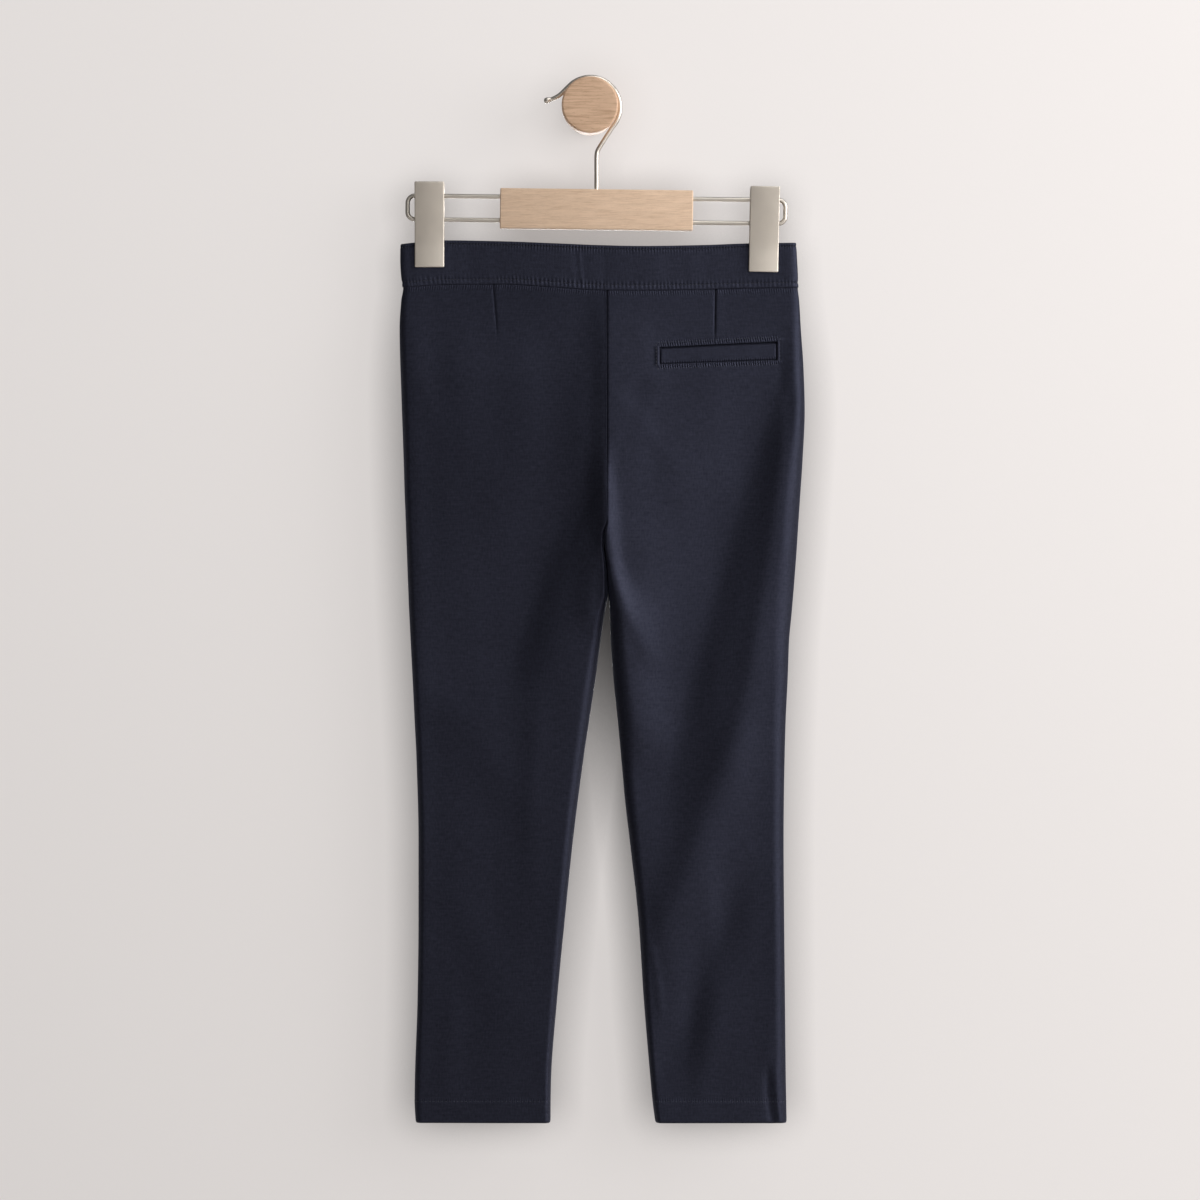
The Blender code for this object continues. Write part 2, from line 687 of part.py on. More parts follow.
def block(name, size, look, bevel_width):
    bpy.ops.mesh.primitive_cube_add(size=1.0)
    obj = bpy.context.object
    obj.scale = tuple(value * MM for value in size)
    bpy.ops.object.transform_apply(location=False, rotation=False, scale=True)
    bevel = obj.modifiers.new("edges", "BEVEL")
    bevel.width = bevel_width * MM
    bevel.segments = 2
    return finish(obj, name, look, round_shading=False)


def rail_bores(name, length, location_across, location_height, tilt):
    """Two cutters along the rails, a little wider than the wire."""
    tools = []
    for side in (-1, 1):
        offset = side * RAIL_HALF_SPACING
        across = location_across + offset * math.sin(tilt)
        height = location_height + offset * math.cos(tilt)
        rotation = (0.0, math.pi / 2 + tilt, 0.0)
        tools.append(cutter(f"{name}_{side}", WIRE + GAP, length, (across, CLOTH_Y, height), rotation))
    return tools


def hanger_bar():
    bar = block("hanger_bar", (BAR_LENGTH, BAR_THICK, BAR_HEIGHT), BEECH, BAR_BEVEL)
    to_hanger(bar)
    for i, tool in enumerate(rail_bores("bar_bore", BAR_LENGTH + 20, HANGER_ACROSS, HANGER_HEIGHT, HANGER_TILT)):
        cut(bar, f"rail_{i}", tool)
    top = HANGER_HEIGHT + BAR_HEIGHT / 2
    socket = cutter(
        "shank_socket", WIRE + GAP, SHANK_DEPTH * 2, (HANGER_ACROSS, CLOTH_Y, top), (0.0, 0.0, 0.0)
    )
    cut(bar, "shank", socket)


def plate_offset(drop):
    """Inner face of a clip plate from the middle plane, this far below the clip's top."""
    jaw = CLIP_LENGTH - CLIP_JAW_LENGTH
    throat = jaw - CLIP_THROAT
    if drop >= jaw:
        return CLIP_JAW_OFFSET
    throat_offset = 6.0
    if drop >= throat:
        return throat_offset + (CLIP_JAW_OFFSET - throat_offset) * ease((drop - throat) / CLIP_THROAT)
    return CLIP_TOP_OFFSET + (throat_offset - CLIP_TOP_OFFSET) * drop / throat


def clip_plate(name, across, top, lean, facing):
    """A bent strip of sheet metal: spread at the top, closed on the cloth at the jaw."""
    drops = (0.0, 18.0, 37.4, 39.2, 41.0, 42.8, 44.4, CLIP_LENGTH - 1.5, CLIP_LENGTH)
    outside, inside = [], []
    for drop in drops:
        y = facing * plate_offset(drop)
        level = CLIP_LENGTH / 2 - drop
        sides = (-CLIP_WIDTH / 2, CLIP_WIDTH / 2)
        inside.append([(x, y, level) for x in sides])
        outside.append([(x, y + facing * CLIP_SHEET, level) for x in sides])
    obj = walled_sheet(name, outside, inside)
    bevel = obj.modifiers.new("edges", "BEVEL")
    bevel.width = 0.3 * MM
    bevel.segments = 1
    bevel.limit_method = "ANGLE"
    bevel.angle_limit = math.radians(60)
    finish(obj, name, NICKEL, round_shading=False)
    place_clip(obj, across, top, lean)


def place_clip(obj, across, top, lean):
    obj.location = (across * MM, CLOTH_Y * MM, (top - CLIP_LENGTH / 2) * MM)
    obj.rotation_euler = (0.0, lean, 0.0)


def clip_core(name, across, top, lean):
    """Block between the plates that slides on both rails."""
    faces = []
    points = []
    for drop in (CORE_TOP, CORE_BOTTOM):
        reach = plate_offset(drop) - GAP
        for x, y in ((-0.5, -1), (0.5, -1), (0.5, 1), (-0.5, 1)):
            points.append((x * CORE_WIDTH, y * reach, CLIP_LENGTH / 2 - drop))
    faces = [(0, 1, 2, 3), (7, 6, 5, 4), (0, 4, 5, 1), (1, 5, 6, 2), (2, 6, 7, 3), (3, 7, 4, 0)]
    obj = mesh_object(name, points, faces)
    finish(obj, name, SPRING, round_shading=False)
    place_clip(obj, across, top, lean)
    height = HANGER_HEIGHT - (across - HANGER_ACROSS) * math.tan(HANGER_TILT)
    for i, tool in enumerate(rail_bores(f"{name}_bore", CORE_WIDTH + 20, across, height, HANGER_TILT)):
        cut(obj, f"rail_{i}", tool)


def clips():
    places = (
        ("left", CLIP_LEFT_ACROSS, CLIP_LEFT_TOP, 0.0),
        ("right", CLIP_RIGHT_ACROSS, CLIP_RIGHT_TOP, CLIP_RIGHT_LEAN),
    )
    for side, across, top, lean in places:
        clip_plate(f"clip_{side}_front_plate", across, top, lean, -1)
        clip_plate(f"clip_{side}_back_plate", across, top, lean, 1)
        clip_core(f"clip_{side}_core", across, top, lean)


# ---------------------------------------------------------------- peg
def wall_peg():
    """Turned peg: its profile is screwed round the axis that runs out of the wall."""
    profile = (
        (0.0, 0.0),
        (PEG_NECK_RADIUS, 0.0),
        (PEG_NECK_RADIUS, PEG_NECK_LENGTH - 0.6),
        (PEG_HEAD_RADIUS, PEG_NECK_LENGTH),
        (PEG_HEAD_RADIUS, PEG_LENGTH - PEG_EDGE),
        (PEG_HEAD_RADIUS - 0.45, PEG_LENGTH - 0.45),
        (PEG_HEAD_RADIUS - PEG_EDGE, PEG_LENGTH),
        (0.0, PEG_LENGTH),
    )
    mesh = bpy.data.meshes.new("wall_peg")
    points = [(radius * MM, 0.0, out * MM) for radius, out in profile]
    mesh.from_pydata(points, [(i, i + 1) for i in range(len(points) - 1)], [])
    obj = bpy.data.objects.new("wall_peg", mesh)
    bpy.context.scene.collection.objects.link(obj)
    screw = obj.modifiers.new("turned", "SCREW")
    screw.axis = "Z"
    screw.steps = 48
    screw.render_steps = 48
    screw.use_merge_vertices = True
    screw.merge_threshold = 0.00001
    screw.use_normal_calculate = True
    finish(obj, "wall_peg", BEECH)
    obj.rotation_euler = (math.pi / 2, 0.0, 0.0)


def main():
    clear()
    panel("back_left", LEFT_LEG, "back", BACK_ROWS)
    back_right = panel("back_right", RIGHT_LEG, "back", BACK_ROWS)
    front_left = panel("front_left", LEFT_LEG, "front", FRONT_ROWS)
    panel("front_right", RIGHT_LEG, "front", FRONT_ROWS)
    waistband("waistband_left", LEFT_LEG)
    waistband("waistband_right", RIGHT_LEG)
    pocket_welt(back_right)
    fly(front_left)
    waist_button()
    hanger_bar()
    hanger_hook()
    hanger_rail()
    clips()
    wall_peg()


main()
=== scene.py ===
"""Looks for the hung skinny trousers: fine cloth shells, threads, hanger and peg over the part's solids.

Lengths are in millimetres until they reach Blender. +Z is up, the wall is y = 0 and the seat of the
trousers faces -Y. The tables repeat the part's own sizes, so that each shell lies on its solid.
"""

import math
import random
from collections import namedtuple
from contextlib import contextmanager

import bmesh
import bpy
import numpy as np
from mathutils import Matrix, Vector


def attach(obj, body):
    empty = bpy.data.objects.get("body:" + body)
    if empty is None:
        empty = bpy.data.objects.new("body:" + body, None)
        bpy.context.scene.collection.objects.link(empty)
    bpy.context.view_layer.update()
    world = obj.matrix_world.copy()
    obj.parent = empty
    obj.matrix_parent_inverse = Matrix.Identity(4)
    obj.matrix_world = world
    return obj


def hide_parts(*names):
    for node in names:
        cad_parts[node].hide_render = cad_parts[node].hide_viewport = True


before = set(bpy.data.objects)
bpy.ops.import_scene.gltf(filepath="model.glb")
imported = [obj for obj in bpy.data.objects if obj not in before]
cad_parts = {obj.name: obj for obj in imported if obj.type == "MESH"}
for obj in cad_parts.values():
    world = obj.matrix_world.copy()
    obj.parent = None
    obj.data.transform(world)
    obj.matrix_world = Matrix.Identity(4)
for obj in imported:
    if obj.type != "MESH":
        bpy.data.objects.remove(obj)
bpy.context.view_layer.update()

MM = 0.001
GAP = 0.3
HALF_GAP = GAP / 2
SIDES = ("left", "right")  # the wearer's
FACING = {"back": -1, "front": 1}  # the way each layer faces along y


def table(kind, *rows):
    """Rows with named columns. A table that is looked up has its keys in the first."""
    return [kind(*row) for row in rows]


# ---------------------------------------------------------------- trousers: the part's sizes
CLOTH_Y = -27.0
CENTRE_SEAM = 11.9
SEAM_FLAT_TO = -292.0  # the halves run straight into each other down to here
SEAM_TURNED_FROM = -318.0  # and each leg is a roll of its own below this
PANEL_TOP, SAG_REACH = -131.0, 80.0
HEM_FOLD = -716.0
HEM_END = -731.5
BAND_TOP_LEVEL, BAND_MIDDLE_LEVEL, BAND_DROP = -100.0, -115.0, 31.0

Edge = namedtuple("Edge", "across waist_top band_seam")
WAIST_EDGES = table(
    Edge,
    (-136, -99.1, -130.6), (-104, -96.5, -128.6), (-65, -97.2, -128.4), (-22, -98.9, -130.8),
    (7, -100.1, -132.6), (36, -100.7, -132.8), (79, -100, -132.2), (115, -98.7, -131.2), (149, -98.2, -130.8),
)

Leg = namedtuple("Leg", "height outer inner")
LEFT_LEG = table(
    Leg,
    (-98, -135.9, 11.7), (-110, -136.4, 11.7), (-124, -135.7, 11.7), (-131, -134.5, 11.7),
    (-140, -135.9, 11.7), (-160, -137.1, 11.7), (-211, -135.7, 11.7), (-254, -134.2, 11.7),
    (-284, -133.3, 11.9), (-290, -133, 12.1), (-299, -132.7, 12), (-307, -132.4, 10.2), (-315, -132.1, 10.1),
    (-325, -131.7, 11.4), (-337, -131.3, 12.6), (-352, -130.7, 13.1), (-358, -130.5, 12), (-370, -129.9, 9.8),
    (-384, -129.2, 7.8), (-413, -127.7, 3.8), (-442, -126.3, -0.6), (-471, -124.9, -4.9),
    (-528, -123.5, -12.2), (-586, -123.5, -18.2), (-643, -124.2, -23.7), (-700, -126.1, -28),
    (-716, -126.3, -28.3), (-731.5, -125.5, -28.4),
)
RIGHT_LEG = table(
    Leg,
    (-98, 148.2, 12.1), (-110, 148.6, 12.1), (-124, 149.4, 12.1), (-131, 149.6, 12.1), (-140, 150.6, 12.1),
    (-160, 151.8, 12.1), (-190, 153.8, 12.1), (-219, 154.6, 12.1), (-254, 153.1, 12.1), (-284, 151.1, 11.9),
    (-290, 150.7, 11.9), (-299, 150.1, 11.7), (-307, 149.6, 10.1), (-315, 149.1, 10), (-325, 148.4, 11.3),
    (-337, 147.5, 12.5), (-352, 146.3, 13.2), (-366, 145.1, 14.1), (-384, 143.4, 14.8), (-413, 142.3, 16.9),
    (-442, 140.9, 19.9), (-471, 140.1, 22.6), (-500, 139.6, 25.2), (-528, 139.4, 28.5), (-586, 139.8, 34.9),
    (-643, 140.4, 38.7), (-700, 141, 43.5), (-716, 141.3, 45), (-731.5, 141.6, 47),
)
LEGS = {"left": LEFT_LEG, "right": RIGHT_LEG}

# How far each layer stands from the middle plane: the back at the centre seam (or inseam) and at the left and
# right legs' outer sides, and the front. The rounds are how far in from an edge the cloth has turned flat.
Depth = namedtuple("Depth", "height middle left right front left_round right_round left_inner right_inner")
DEPTHS = table(
    Depth,
    (-98, 7, 7, 7, 7, 5.5, 5.5, 6, 6), (-131, 7.4, 7, 7, 7.2, 6, 6, 6, 6),
    (-160, 10.2, 8.2, 8.8, 8.5, 5.5, 8, 6, 6), (-200, 15, 10.8, 12, 11, 5.5, 9, 5, 5),
    (-240, 17.6, 11.4, 13.6, 12.5, 5.5, 10, 4, 4), (-275, 17.6, 11, 13.6, 12.5, 5, 11, 3, 2.6),
    (-300, 16.8, 10.4, 13.2, 12.5, 5, 12, 2.6, 2), (-318, 16.1, 10.1, 12.7, 12.3, 5, 13, 2.6, 2),
    (-337, 15.5, 9.8, 12.2, 12, 5, 14, 3.5, 3), (-352, 15.1, 9.6, 11.9, 11.8, 5, 14.5, 4.5, 5.5),
    (-376, 14.5, 9.3, 11.5, 11.5, 5, 13, 7.5, 10.5), (-430, 13.4, 8.8, 10.8, 10.6, 5, 11, 8.5, 12),
    (-470, 12.8, 8.4, 10.2, 10.2, 5, 9.5, 8, 10), (-540, 12, 8, 9.7, 9.6, 5, 9, 7, 7.5),
    (-620, 10.4, 7.2, 9.4, 9, 4.5, 8.5, 6, 6), (-690, 9.6, 6.7, 9, 8.6, 4.5, 8, 5, 5),
    (-731.5, 9.4, 6.5, 8.8, 8.4, 4.5, 7.5, 4.5, 4.5),
)
EDGE_TURN = 2.35  # a little fuller than a circle's 2, so that the turn starts softly

CLIP_ACROSS = (-115.5, 125.4)
CLAMPED_DEPTH, CLAMPED_HALF_WIDTH, CLAMP_SPREAD = 2.3, 12.0, 86.0
CLAMP_BOTTOM, CLAMP_FORGOTTEN = -117.0, -200.0
WAIST_MIDDLE_DEPTH, WAIST_SIDE_DEPTH, WAIST_REACH = 5.6, 3.5, 118.0
HANGER_ACROSS = 4.7

# Creases run from their top point to their low point. bow moves the middle across, left and right are the
# half-widths on the two sides, and rise is how far the cloth stands out (in, where it is negative).
Crease = namedtuple("Crease", "top_across top_height low_across low_height bow left right rise")
BACK_CREASES = table(
    Crease,
    (133, -200, 53, -490, -5, 42, 20, -6.1), (145, -200, 104, -460, 4, 9, 12, 1.6),
    (108, -444, 54, -598, 0, 15, 20, 3.5), (20, -350, 38.5, -466, 0, 12, 21, 3.5),
    (10.5, -256, 26, -368, -5.5, 7, 6, 3.8), (12, -146, 12, -300, 0, 10, 22, 2.8),
    (14, -300, 18, -395, 0, 10, 46, 2.8), (3.5, -318, -1, -372, 0, 10, 6, 2.2),
    (-10, -275, -58, -415, -6, 42, 16, -4.7), (104, -560, 54, -704, 0, 16, 14, -2.6),
    (-66, -440, -58, -600, 0, 30, 34, -1),
)
FRONT_CREASES = table(
    Crease,
    (118, -190, 58, -470, 4, 18, 18, -2.4), (-100, -200, -48, -440, -4, 18, 18, -2.2),
    (18, -262, 70, -330, 0, 14, 14, -1.8), (4, -262, -42, -338, 0, 14, 14, -1.8),
    (-112, -505, -50, -545, 0, 14, 14, -1.4), (126, -510, 52, -548, 0, 14, 14, -1.4),
)
# Smaller creases, which only the fine shells have.
BACK_FINE = table(
    Crease,
    (35, -156, 33, -200, 0, 12, 13, 1), (14, -276, 12.5, -312, 1, 2.5, 5, 0.8),
    (24, -346, 42, -400, 1.5, 5, 9, 0.8), (-129, -150, -120, -700, 3, 4, 8, 0.5),
    (6.5, -272, -14, -318, -2, 5, 4, -0.7), (30, -150, 44, -200, 3, 7, 9, 0.5),
    (52, -190, 34, -262, -4, 8, 10, 0.45), (16, -205, 62, -262, 3, 7, 6, 0.35),
    (148, -150, 140, -210, 2, 6, 5, 0.7), (138, -186, 146, -300, 4, 6, 8, -0.8),
    (-126, -140, -112, -230, -3, 8, 9, 0.5), (-96, -150, -84, -260, -4, 12, 12, 0.5),
    (-30, -150, -36, -290, 4, 16, 18, -0.8), (2, -140, -6, -250, -2, 8, 6, 0.5),
    (-112, -420, -40, -520, 6, 16, 16, 0.7), (-104, -560, -56, -660, 5, 14, 16, 0.6),
    (-36, -430, -40, -560, -4, 8, 8, 0.6), (44, -604, 51, -652, 1, 2.6, 2.8, 0.6),
    (48, -560, 54, -625, 2, 6, 9, 0.3), (136, -560, 128, -690, 4, 8, 8, 0.6),
    (86, -560, 84, -690, 3, 9, 10, 0.7), (128, -694, 132, -733, -1.5, 3, 3.5, -0.9),
    (133, -690, 137.5, -733, -1, 3, 3, 0.7), (74, -640, 66, -720, 2, 8, 9, -0.7),
    (-100, -640, -106, -715, 2, 9, 9, 0.5),
)
FRONT_FINE = table(
    Crease,
    (-60, -150, -70, -260, 5, 14, 12, 0.7), (70, -150, 84, -250, -4, 12, 14, 0.6),
    (14, -270, 40, -352, 3, 6, 8, 0.9), (8, -272, -18, -344, -3, 7, 6, 0.9),
    (-112, -480, -44, -510, 3, 9, 10, 0.7), (44, -486, 122, -522, -3, 9, 9, 0.7),
    (-100, -560, -60, -650, 5, 14, 14, 0.6), (60, -580, 112, -676, -5, 13, 15, 0.6),
)
CREASES = {"back": (BACK_CREASES, BACK_FINE), "front": (FRONT_CREASES, FRONT_FINE)}

# Two flat folds taken up at the waist: the line of each runs down from the waistband.
Dart = namedtuple("Dart", "top_across top_height low_across low_height depth")
DARTS = table(
    Dart,
    (-69.8, -128, -66.3, -168, 0.45), (90.2, -131, 89.6, -171, 0.75),
)

# Welt pocket, in the right seat: corners of its window, each edge's height at its left and its right end.
POCKET_LEFT, POCKET_RIGHT = 49.9, 134.5
POCKET_TOP, POCKET_BOTTOM = (-173.8, -169.6), (-186.1, -182.9)
POCKET_TOP_ROW, POCKET_BOTTOM_ROW = -172.0, -184.0
POCKET_SINK = 1.5
POCKET_MIDDLE = -178.0

BUTTON_ACROSS, BUTTON_HEIGHT = 2.0, -116.5
BUTTON_HOLE_OFFSET = 1.35
FLY_WIDTH, FLY_TOP, FLY_LENGTH = 30.0, -136.5, 98.0
FLY_EDGE = CENTRE_SEAM - 0.5
FLY_CORNER = 1.2  # height of its round corner over its width

# ---------------------------------------------------------------- hanger and peg: the part's sizes
HANGER_HEIGHT = -74.4
HANGER_TILT = math.radians(0.7)
BAR_LENGTH, BAR_HEIGHT, BAR_THICK, BAR_BEVEL = 138.8, 29.0, 12.0, 0.9
WIRE = 1.6
RAIL_HALF_LENGTH, RAIL_HALF_SPACING, RAIL_CORNER = 136.0, 8.5, 5.2
HOOK_RADIUS, HOOK_CENTRE_HEIGHT = 21.6, -0.5
SHANK_BEND_HEIGHT, SHANK_DEPTH = -33.0, 3.2
CLIP_WIDTH, CLIP_LENGTH, CLIP_SHEET, CLIP_BEVEL, CLIP_FLANGE = 21.2, 61.4, 1.0, 0.75, 1.6
CLIP_JAW_OFFSET, CLIP_TOP_OFFSET, CLIP_JAW_LENGTH, CLIP_THROAT = 3.1, 9.6, 17.0, 7.0
CLIP_TOPS = (-54.6, -58.0)
CLIP_LEANS = (0.0, math.radians(1.2))
CORE_WIDTH, CORE_TOP, CORE_BOTTOM, CORE_CORNER = 13.0, 5.0, 35.5, 0.7
SPRING_LENGTH, SPRING_TURNS, SPRING_DROP, SPRING_REACH, SPRING_WIRE = 9.2, 5, 38.6, (2.35, 1.9), 0.55
PEG_NECK_RADIUS, PEG_HEAD_RADIUS, PEG_NECK_LENGTH, PEG_LENGTH, PEG_EDGE = 19.2, 20.3, 30.0, 47.0, 1.5


# ---------------------------------------------------------------- arithmetic
def ease(t):
    t = np.clip(t, 0.0, 1.0)
    return t * t * (3 - 2 * t)


def step(distance, width):
    """0 on the negative side, 1 beyond width."""
    return ease(distance / width)


def bump(distance, width):
    return np.exp(-((distance / width) ** 2))


def unit(vectors):
    return vectors / np.maximum(np.linalg.norm(vectors, axis=-1, keepdims=True), 1e-9)


def run_length(points):
    """Distance along a line of points, from its start."""
    return np.concatenate([[0], np.cumsum(np.linalg.norm(np.diff(points, axis=0), axis=1))])


def spaced(start, *runs):
    """Numbers from start through (end, spacing) runs, each run starting where the last one ended."""
    found = []
    for end, spacing in runs:
        count = max(1, round(abs(end - start) / spacing))
        found += list(np.linspace(start, end, count, endpoint=False))
        start = end
    return np.array([*found, start])


def smooth(rows, column, at):
    """The column's value at each place in the array at, on a smooth curve through the rows of a table."""
    keys = np.array([row[0] for row in rows], float)
    values = np.array([getattr(row, column) for row in rows], float)
    if keys[0] > keys[-1]:
        keys, values = keys[::-1], values[::-1]
    at = np.clip(np.asarray(at, float), keys[0], keys[-1])
    i = np.clip(np.searchsorted(keys, at, side="right") - 1, 0, len(keys) - 2)
    slopes = np.diff(values) / np.diff(keys)
    tangents = np.concatenate([[slopes[0]], np.zeros(len(keys) - 2), [slopes[-1]]])
    before, after = slopes[:-1], slopes[1:]
    same = before * after > 0
    tangents[1:-1][same] = (2 * before * after)[same] / (before + after)[same]
    span = (keys[1:] - keys[:-1])[i]
    t = (at - keys[i]) / span
    return (
        values[i] * (2 * t**3 - 3 * t**2 + 1)
        + tangents[i] * span * (t**3 - 2 * t**2 + t)
        + values[i + 1] * (3 * t**2 - 2 * t**3)
        + tangents[i + 1] * span * (t**3 - t**2)
    )


# ---------------------------------------------------------------- the cloth's surface
def crease_rise(creases, across, height):
    total = np.zeros(np.broadcast(across, height).shape)
    for crease in creases:
        drop = crease.top_height - crease.low_height
        t = (crease.top_height - height) / drop
        run = crease.low_across - crease.top_across
        line = crease.top_across + run * t + crease.bow * 4 * t * (1 - t)
        away = (across - line) / math.hypot(1.0, run / drop)
        away = away / np.where(away < 0, crease.left, crease.right)
        ends = ease((t + 0.2) / 0.4) * ease((1.2 - t) / 0.4)
        total = total + crease.rise * np.exp(-away * away) * ends
    return total


def waist_depth(across):
    """Half the clamped waist's depth: fullest in the middle, and flat in the clips."""
    reach = (across - HANGER_ACROSS) / WAIST_REACH
    swell = np.sqrt(np.maximum(0.0, 1 - reach * reach))
    free = WAIST_SIDE_DEPTH + (WAIST_MIDDLE_DEPTH - WAIST_SIDE_DEPTH) * swell
    nearest = np.minimum(*(np.abs(across - clip) for clip in CLIP_ACROSS))
    held = 1 - ease((nearest - CLAMPED_HALF_WIDTH) / CLAMP_SPREAD)
    return free + (CLAMPED_DEPTH - free) * held


def crotch_closing(height):
    """How far the inner edges have turned from a seam into the sides of two legs."""
    return np.clip((SEAM_FLAT_TO - height) / (SEAM_FLAT_TO - SEAM_TURNED_FROM), 0.0, 1.0)


def outline(side, height):
    """A leg's outer and inner edge, the way from one to the other, and how wide its turn is at each."""
    outer, inner = (smooth(LEGS[side], column, height) for column in ("outer", "inner"))
    outer_round, inner_round = (smooth(DEPTHS, f"{side}_{edge}", height) for edge in ("round", "inner"))
    return outer, inner, np.where(inner > outer, 1.0, -1.0), outer_round, inner_round


def turned_in(t):
    return np.sqrt(np.maximum(0.0, 1 - t**EDGE_TURN))


def leg_depth(side, face, across, height):
    """How far the outside of a layer stands from the middle plane, as in the part, with its fine creases."""
    outer, inner, _, outer_round, inner_round = outline(side, height)
    from_outer = np.minimum(np.abs(across - outer) / outer_round, 1.0)
    from_inner = np.minimum(np.abs(inner - across) / inner_round, 1.0)
    rounding = turned_in(1 - from_outer) * turned_in(crotch_closing(height) * (1 - from_inner))
    hanging = ease((CLAMP_BOTTOM - height) / (CLAMP_BOTTOM - CLAMP_FORGOTTEN))
    if face == "front":
        full = smooth(DEPTHS, "front", height)
    else:
        middle, edge = (smooth(DEPTHS, column, height) for column in ("middle", side))
        full = middle + (edge - middle) * np.clip((across - inner) / (outer - inner), 0.0, 1.0)
    depth = waist_depth(across) * (1 - hanging) + full * hanging
    big, fine = CREASES[face]
    depth = depth + crease_rise(big, across, height) + crease_rise(fine, across, height) * hanging
    return rounding * (depth + unrest(across, height, side, face) * hanging)


def unrest(across, height, side, face):
    """Slow waves of a few tenths of a millimetre, so that no stretch of cloth is quite flat."""
    shift = {"left": 0.0, "right": 1.9}[side] + {"back": 0.0, "front": 2.7}[face]
    a = np.sin(across / 13.0 + height / 41.0 + shift) * np.sin(height / 23.0 - across / 31.0 + shift * 2)
    b = np.sin(across / 7.3 - height / 29.0 + shift * 3) * np.sin(height / 15.0 + across / 19.0)
    return 0.22 * a + 0.10 * b


def sag(across, height):
    """Height once the rows follow the waistband seam at the top."""
    top = smooth(WAIST_EDGES, "band_seam", across) - HALF_GAP
    return height + (top - PANEL_TOP) * (1 - ease((PANEL_TOP - height) / SAG_REACH))


def pocket_line(ends, across):
    """Height of one of the window's long edges."""
    return ends[0] + (ends[1] - ends[0]) * (across - POCKET_LEFT) / (POCKET_RIGHT - POCKET_LEFT)


def pocket_warp(across, height):
    """Moves the rows that are meant for the pocket's edges on to them; the move fades out round the pocket."""
    within = np.clip(across, POCKET_LEFT, POCKET_RIGHT)
    top = pocket_line(POCKET_TOP, within) - POCKET_TOP_ROW
    low = pocket_line(POCKET_BOTTOM, within) - POCKET_BOTTOM_ROW
    share = np.clip((POCKET_TOP_ROW - height) / (POCKET_TOP_ROW - POCKET_BOTTOM_ROW), 0.0, 1.0)
    fade = ease((across - 20.0) / 24.0) * ease((height + 205.0) / 20.0) * ease((-134.0 - height) / 30.0)
    return height + (top + (low - top) * share) * fade


def pocket_edges(across, height):
    """Distances below the window's top edge and above its bottom one, and 1 on a level with the window."""
    rim, under = pocket_line(POCKET_TOP, across) - height, height - pocket_line(POCKET_BOTTOM, across)
    return rim, under, step(rim + 1.5, 1.0) * step(under + 1.5, 1.0)


def in_pocket(across, height):
    """Distance inside the pocket's window; negative outside it."""
    rim, under, _ = pocket_edges(across, height)
    return np.minimum(np.minimum(rim, under), np.minimum(across - POCKET_LEFT, POCKET_RIGHT - across))


def by_pocket(across, left, right):
    """1 between the window's ends and this far past them, fading there."""
    return ease((across - POCKET_LEFT + left) / 3.0) * ease((POCKET_RIGHT + right - across) / 3.0)


def pocket_relief(across, height):
    """The window sinks in; ridges stand above, below and beside it, with furrows under their stitches."""
    inside, (rim, under, level) = in_pocket(across, height), pocket_edges(across, height)
    ridges = 0.45 * bump(rim + 1.6, 1.5) + 0.35 * bump(under + 1.2, 1.3)
    furrows = 0.22 * (bump(rim + 3.5, 0.6) + bump(under + 3.2, 0.6))
    left, right = across - POCKET_LEFT, across - POCKET_RIGHT
    ends = 0.55 * bump(left + 1.0, 1.0) + 0.3 * bump(right - 1.0, 0.7) - 0.2 * bump(right - 2.1, 0.5)
    relief = (ridges * (inside < 0) - furrows) * by_pocket(across, 1.9, 4.5) + ends * level
    return relief - POCKET_SINK * step(inside + 0.15, 0.75)


def dart_place(dart, across, height):
    """The share of the way down a dart, and the distance from its line."""
    t = (dart.top_height - height) / (dart.top_height - dart.low_height)
    return t, across - (dart.top_across + (dart.low_across - dart.top_across) * t)


def detail(side, face, across, height):
    """Seams, darts, pocket window and hem: what is added to a panel's depth, at real heights."""
    total = np.zeros(np.broadcast(across, height).shape)
    if face == "back":
        for dart in DARTS:
            t, away = dart_place(dart, across, height)
            ridges = 0.25 * (bump(away - 2.6, 2.6) + 0.5 * bump(away + 3.4, 3.0))
            total = total + dart.depth * ease((1.08 - t) / 0.5) * (ridges - bump(away, 0.6))
        if side == "right":
            total = total + pocket_relief(across, height)
    if side == "right":
        sewn = bump(np.abs(across - outline(side, height)[1]), 0.9) * ease((height + 310.0) / 40.0)
        total = total - 0.6 * sewn
    return total + 0.22 * step(HEM_FOLD + 1.2 - height, 1.6) - 0.14 * bump(height - HEM_FOLD, 0.7)


# ---------------------------------------------------------------- meshes
def placed(name, data):
    obj = bpy.data.objects.new(name, data)
    bpy.context.scene.collection.objects.link(obj)
    return obj


def add_flag(mesh, key, values):
    """A named value for each point, the last ones 0 if there are too few."""
    padded = np.zeros(len(mesh.vertices), np.float32)
    padded[: np.size(values)] = np.ravel(values)
    mesh.attributes.new(key, "FLOAT", "POINT").data.foreach_set("value", padded)


